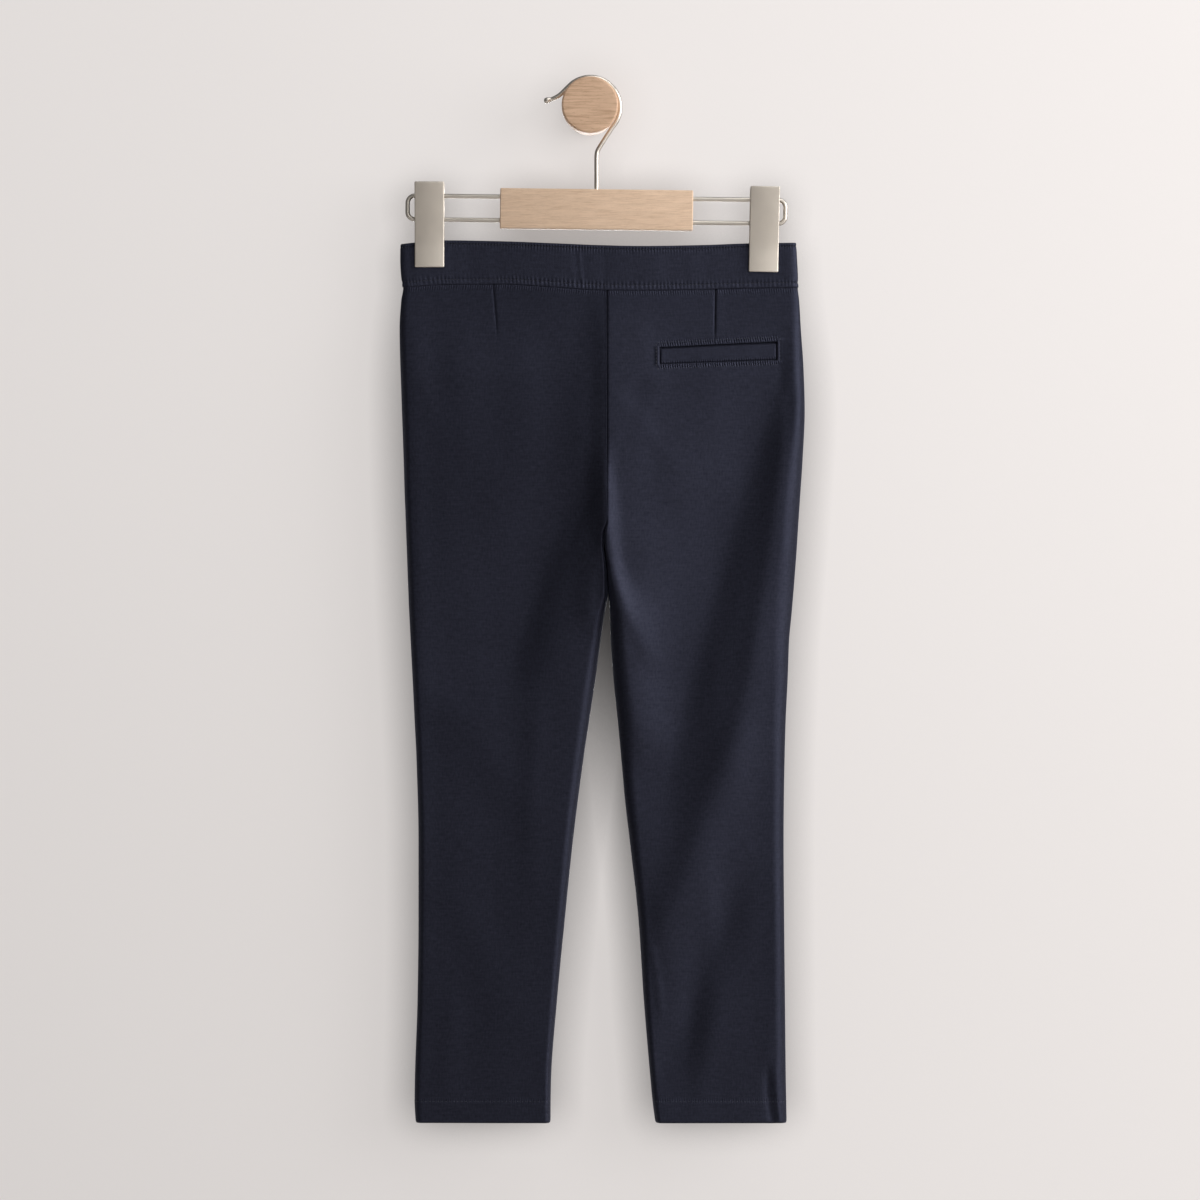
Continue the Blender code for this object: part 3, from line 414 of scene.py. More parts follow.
def new_mesh(name, points, faces, uv=None, flags=None):
    """A mesh object from points in mm. uv holds one pair for each point, and flags named values."""
    mesh = bpy.data.meshes.new(name)
    points = np.asarray(points, float) * MM
    faces = np.asarray(faces, np.int32)
    mesh.vertices.add(len(points))
    mesh.vertices.foreach_set("co", points.astype(np.float32).ravel())
    mesh.loops.add(faces.size)
    mesh.loops.foreach_set("vertex_index", faces.ravel())
    mesh.polygons.add(len(faces))
    mesh.polygons.foreach_set("loop_start", np.arange(0, faces.size, faces.shape[1], dtype=np.int32))
    mesh.polygons.foreach_set("use_smooth", np.ones(len(faces), bool))
    mesh.update(calc_edges=True)
    mesh.validate()
    if uv is not None:
        pairs = np.asarray(uv, np.float32)[faces.ravel()]
        mesh.uv_layers.new(name="cloth").data.foreach_set("uv", pairs.ravel())
    for key, values in (flags or {}).items():
        add_flag(mesh, key, values)
    return placed(name, mesh)


@contextmanager
def editing(obj):
    """The object's mesh as a bmesh, which is written back at the end."""
    shape = bmesh.new()
    shape.from_mesh(obj.data)
    yield shape
    shape.to_mesh(obj.data)
    shape.free()


def face_out(obj):
    with editing(obj) as shape:
        bmesh.ops.recalc_face_normals(shape, faces=shape.faces)
    return obj


def arc_length(grid, axis):
    """Length along rows (axis 1) or down columns (axis 0) of a grid of points."""
    steps = np.linalg.norm(np.diff(grid, axis=axis), axis=2)
    start = np.zeros_like(np.take(steps, [0], axis=axis))
    return np.cumsum(np.concatenate([start, steps], axis=axis), axis=axis)


def grid_normals(grid):
    return unit(np.cross(np.gradient(grid, axis=1), np.gradient(grid, axis=0)))


def shell(name, outside, inside, flags):
    """Closed cloth between two grids with the same rows and columns."""
    rows, columns = outside.shape[:2]
    index = np.arange(rows * columns).reshape(rows, columns)
    front = np.stack([index[:-1, :-1], index[:-1, 1:], index[1:, 1:], index[1:, :-1]], axis=2).reshape(-1, 4)
    back = front[:, ::-1] + rows * columns
    rim = np.concatenate([index[0, :], index[1:, -1], index[-1, -2::-1], index[-2:0:-1, 0]])
    following = np.roll(rim, -1)
    edge = np.stack([following, rim, rim + rows * columns, following + rows * columns], axis=1)
    points = np.concatenate([outside.reshape(-1, 3), inside.reshape(-1, 3)])
    uv = np.stack([arc_length(outside, 1) * MM, -outside[:, :, 2] * MM], axis=2).reshape(-1, 2)
    flags = {key: np.concatenate([np.ravel(values)] * 2) for key, values in flags.items()}
    faces = np.concatenate([front, back, edge])
    return face_out(new_mesh(name, points, faces, np.concatenate([uv, uv]), flags))


def ring(centre, side, other, radius, sides):
    angles = np.linspace(0, 2 * math.pi, sides, endpoint=False)
    return centre + radius * (np.outer(np.cos(angles), side) + np.outer(np.sin(angles), other))


def loft_faces(rings, sides, closed_path=False):
    index = np.arange(rings * sides).reshape(rings, sides)
    if closed_path:
        index = np.concatenate([index, index[:1]])
    a, b = index[:-1], index[1:]
    return np.stack([a, np.roll(a, -1, axis=1), np.roll(b, -1, axis=1), b], axis=2).reshape(-1, 4)


def loft(name, rings, closed_path=False, uv=None):
    """A skin over closed rings of points; open paths are capped."""
    rings = np.array(rings)
    count, sides = rings.shape[:2]
    obj = new_mesh(name, rings.reshape(-1, 3), loft_faces(count, sides, closed_path), uv)
    if not closed_path:
        with editing(obj) as shape:
            shape.verts.ensure_lookup_table()
            for cap in (range(sides), range((count - 1) * sides, count * sides)):
                for edge in shape.faces.new([shape.verts[i] for i in cap]).edges:
                    edge.smooth = False
    return face_out(obj)


def tube(name, path, radius, sides=16, radii=None, closed=False):
    """Round wire along points, with rounded ends."""
    path = np.asarray(path, float)
    radii = np.ones(len(path)) if radii is None else radii
    if closed:
        tangents = np.roll(path, -1, axis=0) - np.roll(path, 1, axis=0)
    else:
        tangents = np.gradient(path, axis=0)
        caps = []
        for at, sign in ((0, -1), (-1, 1)):
            reach = unit(tangents[at]) * sign * radius * radii[at] * 0.6
            turns = np.radians([30, 60, 80])
            caps.append([(path[at] + reach * math.sin(a), radii[at] * math.cos(a)) for a in turns])
        head, tail = caps[0][::-1], caps[1]
        path = np.concatenate([[point for point, _ in head], path, [point for point, _ in tail]])
        radii = np.concatenate([[width for _, width in head], radii, [width for _, width in tail]])
        tangents = np.concatenate([[tangents[0]] * 3, tangents, [tangents[-1]] * 3])
    tangents = unit(tangents)
    side = np.cross(tangents[0], (0.0, 1.0, 0.0))
    if np.linalg.norm(side) < 1e-6:
        side = np.cross(tangents[0], (1.0, 0.0, 0.0))
    rings = []
    for point, tangent, width in zip(path, tangents, radii):
        side = unit(side - tangent * np.dot(side, tangent))
        rings.append(ring(point, side, np.cross(tangent, side), radius * width, sides))
    return loft(name, rings, closed)


def rod(name, start, end, radius, sides=32):
    """A straight cylinder, for cutting holes."""
    start, end = Vector(start), Vector(end)
    direction = (end - start).normalized()
    side = direction.orthogonal().normalized()
    other = direction.cross(side)
    angles = [2 * math.pi * i / sides for i in range(sides)]
    circle = [(side * math.cos(angle) + other * math.sin(angle)) * radius for angle in angles]
    return loft(name, [[tuple(point + reach) for reach in circle] for point in (start, end)])


def lathe(name, profile, centre, sides=64, turn=1.0):
    """A profile of (radius, out) screwed round an axis along y."""
    x, y, z = centre
    rings = [ring((x, y + turn * out, z), (1, 0, 0), (0, 0, 1), radius, sides) for radius, out in profile]
    return loft(name, rings)


def join(name, objects):
    """One object from several."""
    shape = bmesh.new()
    for obj in objects:
        shape.from_mesh(obj.data)
        bpy.data.objects.remove(obj)
    mesh = bpy.data.meshes.new(name)
    shape.to_mesh(mesh)
    shape.free()
    mesh.polygons.foreach_set("use_smooth", np.ones(len(mesh.polygons), bool))
    return placed(name, mesh)


def cut_holes(obj, tools):
    for tool in tools:
        modifier = obj.modifiers.new("hole", "BOOLEAN")
        modifier.operation, modifier.solver, modifier.object = "DIFFERENCE", "EXACT", tool
    graph = bpy.context.evaluated_depsgraph_get()
    made = bpy.data.meshes.new_from_object(obj.evaluated_get(graph))
    obj.modifiers.clear()
    obj.data = made
    for tool in tools:
        bpy.data.objects.remove(tool)
    return obj


def flat_sides(obj, angle):
    """Round shading with crisp edges above an angle."""
    with editing(obj) as shape:
        for face in shape.faces:
            face.smooth = True
        for edge in shape.edges:
            edge.smooth = len(edge.link_faces) != 2 or edge.calc_face_angle(0.0) < math.radians(angle)
    return obj


# ---------------------------------------------------------------- materials
class Wire:
    """A node's output. +, - and * with a number or another wire add a Math node after it."""

    def __init__(self, tree, socket):
        self.tree, self.socket = tree, socket

    def math(self, operation, other=0.0):
        return add_node(self.tree, "Math", {0: self, 1: other}, operation=operation)

    def __add__(self, other):
        return self.math("ADD", other)

    def __sub__(self, other):
        return self.math("SUBTRACT", other)

    def __mul__(self, other):
        return self.math("MULTIPLY", other)

    def wave(self, length):
        return (self * (2 * math.pi / length)).math("SINE")


def fill(tree, node, inputs):
    """Sets sockets, by name or place, to numbers and colours or links them to wires."""
    for key, value in inputs.items():
        if isinstance(value, Wire):
            tree.links.new(value.socket, node.inputs[key])
        else:
            node.inputs[key].default_value = value


def add_node(tree, kind, inputs, output=0, **settings):
    node = tree.nodes.new("ShaderNode" + kind)
    for key, value in settings.items():
        setattr(node, key, value)
    fill(tree, node, inputs)
    return Wire(tree, node.outputs[output])


class Maker:
    """Builds one node material."""

    def __init__(self, name):
        self.material = bpy.data.materials.new(name)
        self.material.use_nodes = True
        self.tree = self.material.node_tree
        self.shader = self.tree.nodes["Principled BSDF"]

    def add(self, kind, inputs, output=0, **settings):
        return add_node(self.tree, kind, inputs, output, **settings)

    def set(self, **inputs):
        fill(self.tree, self.shader, {key.replace("_", " "): value for key, value in inputs.items()})

    def place(self):
        return self.add("TexCoord", {}, "Object")

    def flag(self, name):
        return self.add("Attribute", {}, "Fac", attribute_name=name)

    def parts(self, vector):
        first = self.add("SeparateXYZ", {0: vector})
        return [Wire(self.tree, socket) for socket in first.socket.node.outputs]

    def noise(self, vector, scale, detail=2.0, roughness=0.5, distortion=0.0):
        inputs = {"Vector": vector, "Scale": scale, "Detail": detail, "Roughness": roughness}
        return self.add("TexNoise", {**inputs, "Distortion": distortion}, "Fac")

    def stretched(self, vector, scale):
        return self.add("Mapping", {"Vector": vector, "Scale": scale})

    def ramp(self, value, *stops):
        wire = self.add("ValToRGB", {"Fac": value}, "Color")
        elements = wire.socket.node.color_ramp.elements
        while len(elements) < len(stops):
            elements.new(0.5)
        for element, (position, colour) in zip(elements, stops):
            element.position, element.color = position, (*colour, 1.0)
        return wire

    def bump(self, height, distance, strength, **normal):
        return self.add("Bump", {"Height": height, "Distance": distance, "Strength": strength, **normal})

    def tinted(self, colour, tone):
        return self.add("VectorMath", {0: colour, "Scale": tone}, operation="SCALE")

    def times(self, a, b):
        inputs = {"Factor": 1.0, "A": a, "B": b}
        return self.add("Mix", inputs, "Result", data_type="RGBA", blend_type="MULTIPLY")

    def eased(self, value, start, end, low, high):
        """low before start and high past end, with a soft change between them."""
        inputs = {"Value": value, "From Min": start, "From Max": end, "To Min": low, "To Max": high}
        return self.add("MapRange", inputs, interpolation_type="SMOOTHSTEP")


def twill(name, colour):
    """Stretch cotton twill: fine diagonal ribs, a soft nap, and puckers where the mesh is flagged for them."""
    m = Maker(name)
    uv = m.add("UVMap", {}, "UV", uv_map="cloth")
    u, v, _ = m.parts(uv)
    wobble = m.noise(uv, 900.0) * 0.00022
    fibre = m.noise(uv, 5200.0, 3.0, 0.6)
    slub = m.noise(m.stretched(uv, (1.0, 0.09, 1.0)), 1500.0)
    ribs, weft = (u * 0.866 + v * 0.5 + wobble).wave(0.00056), (v + wobble).wave(0.00034)
    weave = ribs * 0.36 + weft * 0.12 + fibre * 0.5 + slub * 0.35
    # colour: ribs catch a little more light than the valleys, and the dye is never quite even
    heather = m.noise(m.stretched(uv, (1.0, 0.30, 1.0)), 800.0, 3.0, 0.7)
    cross = m.noise(m.stretched(uv, (0.22, 1.0, 1.0)), 640.0, 2.0, 0.6)
    grain = (heather * 0.60 + cross * 0.40) * 1.5 + 0.26
    # painted shade: the seam flag darkens colour and specular where no light reaches, and where it is below 0
    # on the waistband it paints light; the other flag makes worn folds paler and paints light on the waistband
    # and a highlight at the pocket's end
    light = (m.flag("seam") * -0.85 + 1.0) * grain
    tone = (m.noise(uv, 16.0, 4.0, 0.6) * 0.16 + 0.90 + weave * 0.10 + m.flag("wear_and_painted_light") * 0.25) * light
    jitter = m.noise(m.stretched(uv, (1.0, 0.03, 1.0)), 260.0, 1.0) * 7.0
    ticks = (u * (2 * math.pi / 0.0017) + jitter).math("SINE") * m.flag("pucker")
    m.set(Base_Color=m.tinted(colour, tone), Specular_IOR_Level=light * 0.46, Roughness=fibre * 0.12 + 0.50,
          Normal=m.bump(weave, 0.00010, 0.55, Normal=m.bump(ticks, 0.00034, 1.0)),
          Sheen_Weight=0.12, Sheen_Roughness=0.42, Sheen_Tint=(0.45, 0.5, 0.8, 1.0),
          Specular_Tint=(0.58, 0.63, 1.0, 1.0))
    return m.material


def thread_material():
    m = Maker("navy_thread")
    where = m.place()
    tone = m.ramp(m.noise(where, 2600.0), (0.3, (0.012, 0.013, 0.021)), (0.7, (0.03, 0.032, 0.052)))
    m.set(Base_Color=tone, Normal=m.bump(m.noise(where, 5200.0), 0.00004, 0.6), Roughness=0.55,
          Sheen_Weight=0.2, Specular_IOR_Level=0.4)
    return m.material


def beech(name, grain_scale, light, dark, lines, centre=(0.0, 0.0, 0.0), tilt=0.0):
    """Pale wood with its grain along x."""
    m = Maker(name)
    where = m.add("Mapping", {"Vector": m.place(), "Location": tuple(-value for value in centre),
                              "Rotation": (0.0, tilt, 0.0)}, vector_type="POINT")
    long_fibre = m.noise(m.stretched(where, (0.055, 1.0, 1.0)), grain_scale, 5.0, 0.62, 0.25)
    flecks = m.noise(m.stretched(where, (0.11, 1.0, 1.0)), grain_scale * 3.1, 3.0, 0.7)
    broad = m.noise(m.stretched(where, (0.12, 1.0, 1.0)), grain_scale * 0.22, 3.0, 0.5, 0.4)
    base = m.ramp(long_fibre, (0.34, dark), (0.52, light), (0.8, tuple(min(1.0, c * 1.06) for c in light)))
    fleck = m.ramp(flecks, (0.30, (1 - lines, 1 - lines * 1.15, 1 - lines * 1.3)), (0.43, (1.0, 1.0, 1.0)))
    warm = m.ramp(broad, (0.3, (0.94, 0.92, 0.89)), (0.7, (1.03, 1.02, 1.0)))
    m.set(Base_Color=m.times(m.times(base, fleck), warm), Roughness=flecks * 0.2 + 0.42,
          Normal=m.bump(long_fibre * 0.6 + flecks * 0.5, 0.00012, 0.35), Specular_IOR_Level=0.4)
    return m.material


def metal(name, colour, roughness, brushed=0.0):
    """Satin plated metal, with faint cloudy wear and, on sheet, a brushed line down its length."""
    m = Maker(name)
    where = m.place()
    cloud = m.noise(where, 90.0, 4.0, 0.6)
    tone = cloud * 0.08 + 0.96
    m.set(Base_Color=m.tinted(colour, tone), Roughness=cloud * 0.10 + (roughness - 0.05), Metallic=1.0)
    if brushed:
        fine = m.noise(m.stretched(where, (1.0, 1.0, 0.03)), 6000.0)
        m.set(Normal=m.bump(fine, 0.00002, brushed))
    return m.material


def paint(name, colour, roughness, grain=300.0, rise=0.0002):
    m = Maker(name)
    where = m.place()
    tone = m.ramp(m.noise(where, 3.0, 3.0), (0.3, tuple(c * 0.99 for c in colour)), (0.7, colour))
    m.set(Base_Color=tone, Normal=m.bump(m.noise(where, grain, 3.0), rise, 0.15), Roughness=roughness,
          Specular_IOR_Level=0.2)
    return m


def dress(obj, material, stands_for=()):
    obj.data.materials.clear()
    obj.data.materials.append(material)
    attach(obj, "root")
    if stands_for:
        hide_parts(*stands_for)
    return obj


# ---------------------------------------------------------------- panels
# A column of a panel is named by its share u of the way from the outer edge to the inner one. These are the
# shares where the part's rounding ends and begins.
OUTER_SHARE, INNER_SHARE = 5 / 14, 10 / 14


def across_at(side, u, height):
    outer, inner, turn, outer_round, inner_round = outline(side, height)
    near_outer = math.pi / 2 * (1 - np.clip(u / OUTER_SHARE, 0, 1))
    near_inner = math.pi / 2 * np.clip((u - INNER_SHARE) / (1 - INNER_SHARE), 0, 1)
    start, end = outer + turn * outer_round, inner - turn * inner_round
    middle = start + (end - start) * (u - OUTER_SHARE) / (INNER_SHARE - OUTER_SHARE)
    first = outer + turn * outer_round * (1 - np.sin(near_outer))
    last = inner - turn * inner_round * (1 - np.sin(near_inner))
    return np.where(u <= OUTER_SHARE, first, np.where(u >= INNER_SHARE, last, middle))


def share_of(side, across, height):
    """The share u at which a leg passes this place across."""
    outer, inner, turn, outer_round, inner_round = outline(side, height)
    from_outer = np.clip((across - outer) * turn / outer_round, 0, 1)
    from_inner = np.clip((inner - across) * turn / inner_round, 0, 1)
    start, end = outer + turn * outer_round, inner - turn * inner_round
    first = OUTER_SHARE * (1 - np.arcsin(1 - from_outer) / (math.pi / 2))
    last = INNER_SHARE + (1 - INNER_SHARE) * np.arcsin(1 - from_inner) / (math.pi / 2)
    middle = OUTER_SHARE + (INNER_SHARE - OUTER_SHARE) * (across - start) / (end - start)
    return np.where(from_outer < 1, first, np.where(from_inner < 1, last, middle))


# Columns on the outer turn, between the turns and on the inner turn, and closer ones, (from, to, spacing),
# at the pocket's ends and the darts.
COLUMN_COUNTS = {"back": (26, 52, 18), "front": (16, 30, 12)}
CLOSE_COLUMNS = {
    "back_right": ((48.6, 53.4, 0.45), (133.2, 138.6, 0.5), (87.4, 93.4, 0.55)),
    "back_left": ((-72.5, -63.5, 0.7),),
}
LEAST_SHARE = 0.0011


def panel_shares(side, face):
    shares = []
    bounds = (0, OUTER_SHARE, INNER_SHARE, 1)
    for count, start, end in zip(COLUMN_COUNTS[face], bounds, bounds[1:]):
        shares += list(np.linspace(start, end, count))
    for run in CLOSE_COLUMNS.get(f"{face}_{side}", ()):
        shares += [float(share_of(side, x, POCKET_MIDDLE)) for x in np.arange(*run)]
    shares = np.unique(np.round(shares, 5))
    keep = [shares[0]]
    for share in shares[1:]:
        if share - keep[-1] > LEAST_SHARE or share == 1:
            keep.append(share)
    return np.array(keep)


LOW_ROWS = (
    (-256.0, 2.6), (-372.0, 1.8), (-690.0, 2.8), (-713.0, 2.2), (-718.8, 0.55), (-729.0, 1.4), (HEM_END, 0.6),
)
BACK_ROWS = {
    "left": spaced(PANEL_TOP, (-140.0, 0.9), (-172.0, 1.7), *LOW_ROWS),
    "right": spaced(PANEL_TOP, (-140.0, 0.9), (-166.0, 1.7), (-170.2, 0.7), (-174.0, 0.32), (-182.0, 1.1),
                    (-186.0, 0.36), (-190.0, 0.8), *LOW_ROWS),
}
FRONT_ROWS = spaced(PANEL_TOP, (-140.0, 1.2), (-256.0, 3.4), (-372.0, 2.6), (-713.0, 3.6), (-718.8, 0.7),
                    (-729.0, 2.0), (HEM_END, 0.8))


def cloth_surface(side, face, shares, heights):
    """Outside points of a panel on a grid of shares and heights."""
    u, height = np.meshgrid(shares, heights)
    across = across_at(side, u, height)
    if face == "back" and side == "right":
        height = pocket_warp(across, height)
        across = across_at(side, u, height)
    z = sag(across, height)
    outer, inner = outline(side, height)[:2]
    to_inner = np.where(crotch_closing(height) > 0.5, np.abs(across - inner), 99.0)
    room = np.minimum(np.abs(across - outer), to_inner)
    depth = leg_depth(side, face, across, height) + detail(side, face, across, z) * ease(room / 2.5)
    return np.stack([across, CLOTH_Y + FACING[face] * (HALF_GAP + depth), z], axis=2)


def surface_y(side, face, across, z, seams=True):
    """y of a panel's outside at real heights, with its seams and its pocket window or without them."""
    across, z = np.asarray(across, float), np.asarray(z, float)
    height = z
    for _ in range(3):
        height = height + (z - sag(across, height))
    depth = leg_depth(side, face, across, height)
    if seams:
        depth = depth + detail(side, face, across, z)
    return CLOTH_Y + FACING[face] * (HALF_GAP + depth)


def outward_normals(grid, face):
    normals = grid_normals(grid)
    middle = normals[:, normals.shape[1] // 2, 1]
    return normals if np.sign(np.median(middle)) == FACING[face] else -normals


# Columns beyond an edge: how far in and on each lies, plain and where the cloth passes under its neighbour.
EDGE_ROLL = (
    (0.22, 0.10, 0.22, 0.10), (0.62, 0.13, 0.75, 0.16), (0.95, 0.10, 1.55, 0.55), (1.1, 0.0, 1.75, 2.4),
)
EDGE_WALL, PANEL_WALL, HEM_EXTRA_WALL = 0.45, 1.05, 0.8


def edge_columns(grid, normals, at, tail):
    """The cloth rolls in beyond an edge, and where tail is 1 it passes under its neighbour."""
    edge, out, tail = grid[:, at], normals[:, at], tail[:, None]
    along = unit(edge - grid[:, 1 if at == 0 else -2])
    along = unit(along - out * np.sum(along * out, axis=1, keepdims=True))
    return [
        edge - out * (inward + (far_in - inward) * tail) + along * (forward + (far_on - forward) * tail)
        for inward, forward, far_in, far_on in EDGE_ROLL
    ]


def make_panel(side, face, heights):
    name, facing = f"{face}_{side}", FACING[face]
    grid = cloth_surface(side, face, panel_shares(side, face), heights)
    normals = outward_normals(grid, face)
    whole, none = np.ones(len(grid)), np.zeros(len(grid))
    inseam = ease((crotch_closing(grid[:, -1, 2]) - 0.4) / 0.5)
    before = edge_columns(grid, normals, 0, whole if face == "back" else none)[::-1]
    after = edge_columns(grid, normals, -1, {"back_left": whole, "back_right": inseam}.get(name, none))
    wall = (PANEL_WALL + HEM_EXTRA_WALL * step(HEM_FOLD + 2.0 - grid[:, :, 2], 2.5))[:, :, None]
    inside = grid - normals * wall
    inside[:, 0, 1] = grid[:, 0, 1]
    clear = np.minimum if face == "back" else np.maximum
    inside[:, :, 1] = clear(inside[:, :, 1], CLOTH_Y + facing * 0.05)
    outside = np.stack([*before, *np.moveaxis(grid, 1, 0), *after], axis=1)
    before = [column - normals[:, 0] * EDGE_WALL for column in before]
    after = [column - normals[:, -1] * EDGE_WALL for column in after]
    inside = np.stack([*before, *np.moveaxis(inside, 1, 0), *after], axis=1)
    # the top edge turns in under the waistband, and the hem's fold is round
    head = np.stack([outside[0] + (0, -facing * 1.0, 1.6), outside[0] + (0, -facing * 0.55, 0.4)])
    outside, inside = np.concatenate([head, outside]), np.concatenate([head + (0, -facing * 0.5, 0.0), inside])
    y, next_y = outside[0][:, 1], outside[1][:, 1]
    outside[0][:, 1] = np.where(np.abs(y - CLOTH_Y) < 1.0, next_y, y)
    for row, share in ((-3, 0.04), (-2, 0.16), (-1, 0.42)):
        inward = (inside[row] - outside[row]) * share
        outside[row], inside[row] = outside[row] + inward, inside[row] - inward
    return shell(f"{name}_cloth", outside, inside, panel_flags(side, face, outside))


def panel_flags(side, face, grid):
    """Where the cloth puckers along stitching, where its folds are worn a little paler, where a highlight is
    painted at the pocket's left end, and the painted shade in its seams, darts and pocket.
    """
    across, z = grid[:, :, 0], grid[:, :, 2]
    pucker = 0.2 * bump(z - HEM_FOLD - 0.6, 1.7)
    wear_and_painted_light = 0.5 * bump(z - HEM_END, 1.6) + 0.12 * bump(z - HEM_FOLD + 1.2, 1.2)
    if face == "back" and side == "right":
        rim, under, level = pocket_edges(across, z)
        sewn = 0.75 * bump(rim + 2.3, 1.7) + 1.0 * bump(under + 1.7, 1.4)
        pucker = pucker + sewn * by_pocket(across, 1.4, 2.0)
        # painted highlight: a bright line at the window's left end, where its rounded fold catches the light
        wear_and_painted_light = wear_and_painted_light + 5.0 * bump(across - POCKET_LEFT + 0.9, 0.7) * level
    top = sag(across, np.full_like(z, PANEL_TOP))
    pucker = pucker + 0.25 * bump(top - z - 1.5, 2.0)
    seam = seam_shade(side, face, across, z)
    return {"pucker": np.clip(pucker, 0, 1), "wear_and_painted_light": np.clip(wear_and_painted_light, 0, 5.0), "seam": seam}


def seam_shade(side, face, across, z):
    """Where cloth folds into a seam and no light reaches: 1 there, fading within a millimetre."""
    edge = np.abs(across - outline(side, z)[1])
    turned = ease((-294.0 - z) / 12.0)
    wide = (1.3 if side == "left" else 0.8) * (1 - turned) + 0.45 * turned
    shade = bump(edge, wide) * (0.34 + 0.5 * turned) * ease((z + 395.0) / 20.0)
    shade = shade + 0.04 * ease((-490.0 - z) / 120.0)  # the lower legs hang in a little less light
    if face == "back":
        for dart in DARTS:
            t, away = dart_place(dart, across, z)
            shade = shade + (0.35 + dart.depth * 0.6) * bump(away, 0.55) * ease((1.05 - t) / 0.35)
    if face == "back" and side == "right":
        upper = ease((z - pocket_line(POCKET_TOP, across) + 2.0) / 1.0)
        shade = shade + (0.45 + 0.4 * upper) * bump(in_pocket(across, z) - 0.3, 0.45)
        shade = shade + 0.6 * bump(across - POCKET_LEFT + 2.4, 0.5) * step(np.abs(z + 179.8) - 7.5, -2.0)
    return np.clip(shade, 0.0, 1.0)


# ---------------------------------------------------------------- waistband
BAND_SPACING = 0.55
BAND_MIDDLE_ROW = 3

# The band's section: how far down from its top, or from its foot, how far out, and how much the stitching
# puckers it there. Then its inside, from the foot and from the top.
BAND_TOP = (
    (0.0, -0.55, 0.0), (0.1, -0.15, 0.1), (0.4, 0.12, 0.3), (0.9, 0.26, 0.6), (1.5, 0.30, 0.9),
    (2.0, 0.24, 1.0), (2.35, 0.10, 1.0), (2.6, 0.02, 1.0), (2.85, 0.10, 1.0), (3.2, 0.24, 1.0),
    (3.8, 0.32, 0.9), (4.8, 0.36, 0.45), (6.2, 0.38, 0.12), (9.0, 0.40, 0.0), (13.0, 0.42, 0.0),
    (18.0, 0.42, 0.0),
)
BAND_FOOT = (
    (-9.0, 0.40, 0.0), (-7.0, 0.38, 0.1), (-5.9, 0.36, 0.45), (-5.0, 0.32, 0.9), (-4.4, 0.24, 1.0),
    (-4.0, 0.10, 1.0), (-3.75, 0.02, 1.0), (-3.5, 0.10, 1.0), (-3.1, 0.26, 1.0), (-2.5, 0.42, 0.9),
    (-1.7, 0.54, 0.7), (-0.9, 0.58, 0.45), (-0.35, 0.46, 0.3), (0.0, 0.12, 0.1), (0.05, -0.5, 0.0),
)
BAND_INSIDE_FOOT = ((0.0, -1.35), (-0.9, -1.65), (-10.0, -1.7))
BAND_INSIDE_TOP = ((10.0, -1.7), (1.1, -1.65), (0.3, -1.25))
# Painted light: how much lighter the whole band is painted, and its folded edges, which are also worn a little
# paler, from one point of the section to another.
BAND_PAINTED_LIGHT, BAND_EDGE_WEAR_AND_LIGHT = 0.35, ((2, 5, 0.65), (26, 29, 0.55))
BAND_TOP_STITCH, BAND_FOOT_STITCH = 2.6, 3.75
TICK_PITCH, FOOT_TICK_PITCH, TICK_RISE = 2.1, 2.9, 0.17


def band_base(side):
    """Even columns from the centre back round the side to the centre front, on the part's band."""
    shares = [np.linspace(1, INNER_SHARE, 12), np.linspace(INNER_SHARE, OUTER_SHARE, 150)[1:],
              np.linspace(OUTER_SHARE, 0, 40)[1:]]
    shares = np.concatenate(shares)
    columns = []
    for face, chosen in (("back", shares), ("front", shares[::-1][1:])):
        at = across_at(side, chosen, np.full(len(chosen), BAND_MIDDLE_LEVEL))
        top = smooth(WAIST_EDGES, "waist_top", at)
        low = smooth(WAIST_EDGES, "band_seam", at) + HALF_GAP
        rows = []
        for share in np.linspace(0, 1, 2 * BAND_MIDDLE_ROW + 1):
            level = np.full(len(chosen), BAND_TOP_LEVEL - BAND_DROP * share)
            x = across_at(side, chosen, level)
            y = CLOTH_Y + FACING[face] * leg_depth(side, face, x, level)
            rows.append(np.stack([x, y, top + (low - top) * share], axis=1))
        columns.append(np.stack(rows))
    grid = np.concatenate(columns, axis=1)
    length = arc_length(grid, 1)[BAND_MIDDLE_ROW]
    even = np.linspace(0, length[-1], int(length[-1] / BAND_SPACING))
    rows = [np.stack([np.interp(even, length, row[:, axis]) for axis in range(3)], axis=1) for row in grid]
    return np.stack(rows), even


def band_normals(base):
    normals = grid_normals(base)
    away = base - (base[:, :, 0].mean(), CLOTH_Y, 0.0)
    normals = normals * np.sign(np.median(np.sum(normals * away * (1, 1, 0), axis=2)))
    normals[:, :, 2] = 0
    return unit(normals)


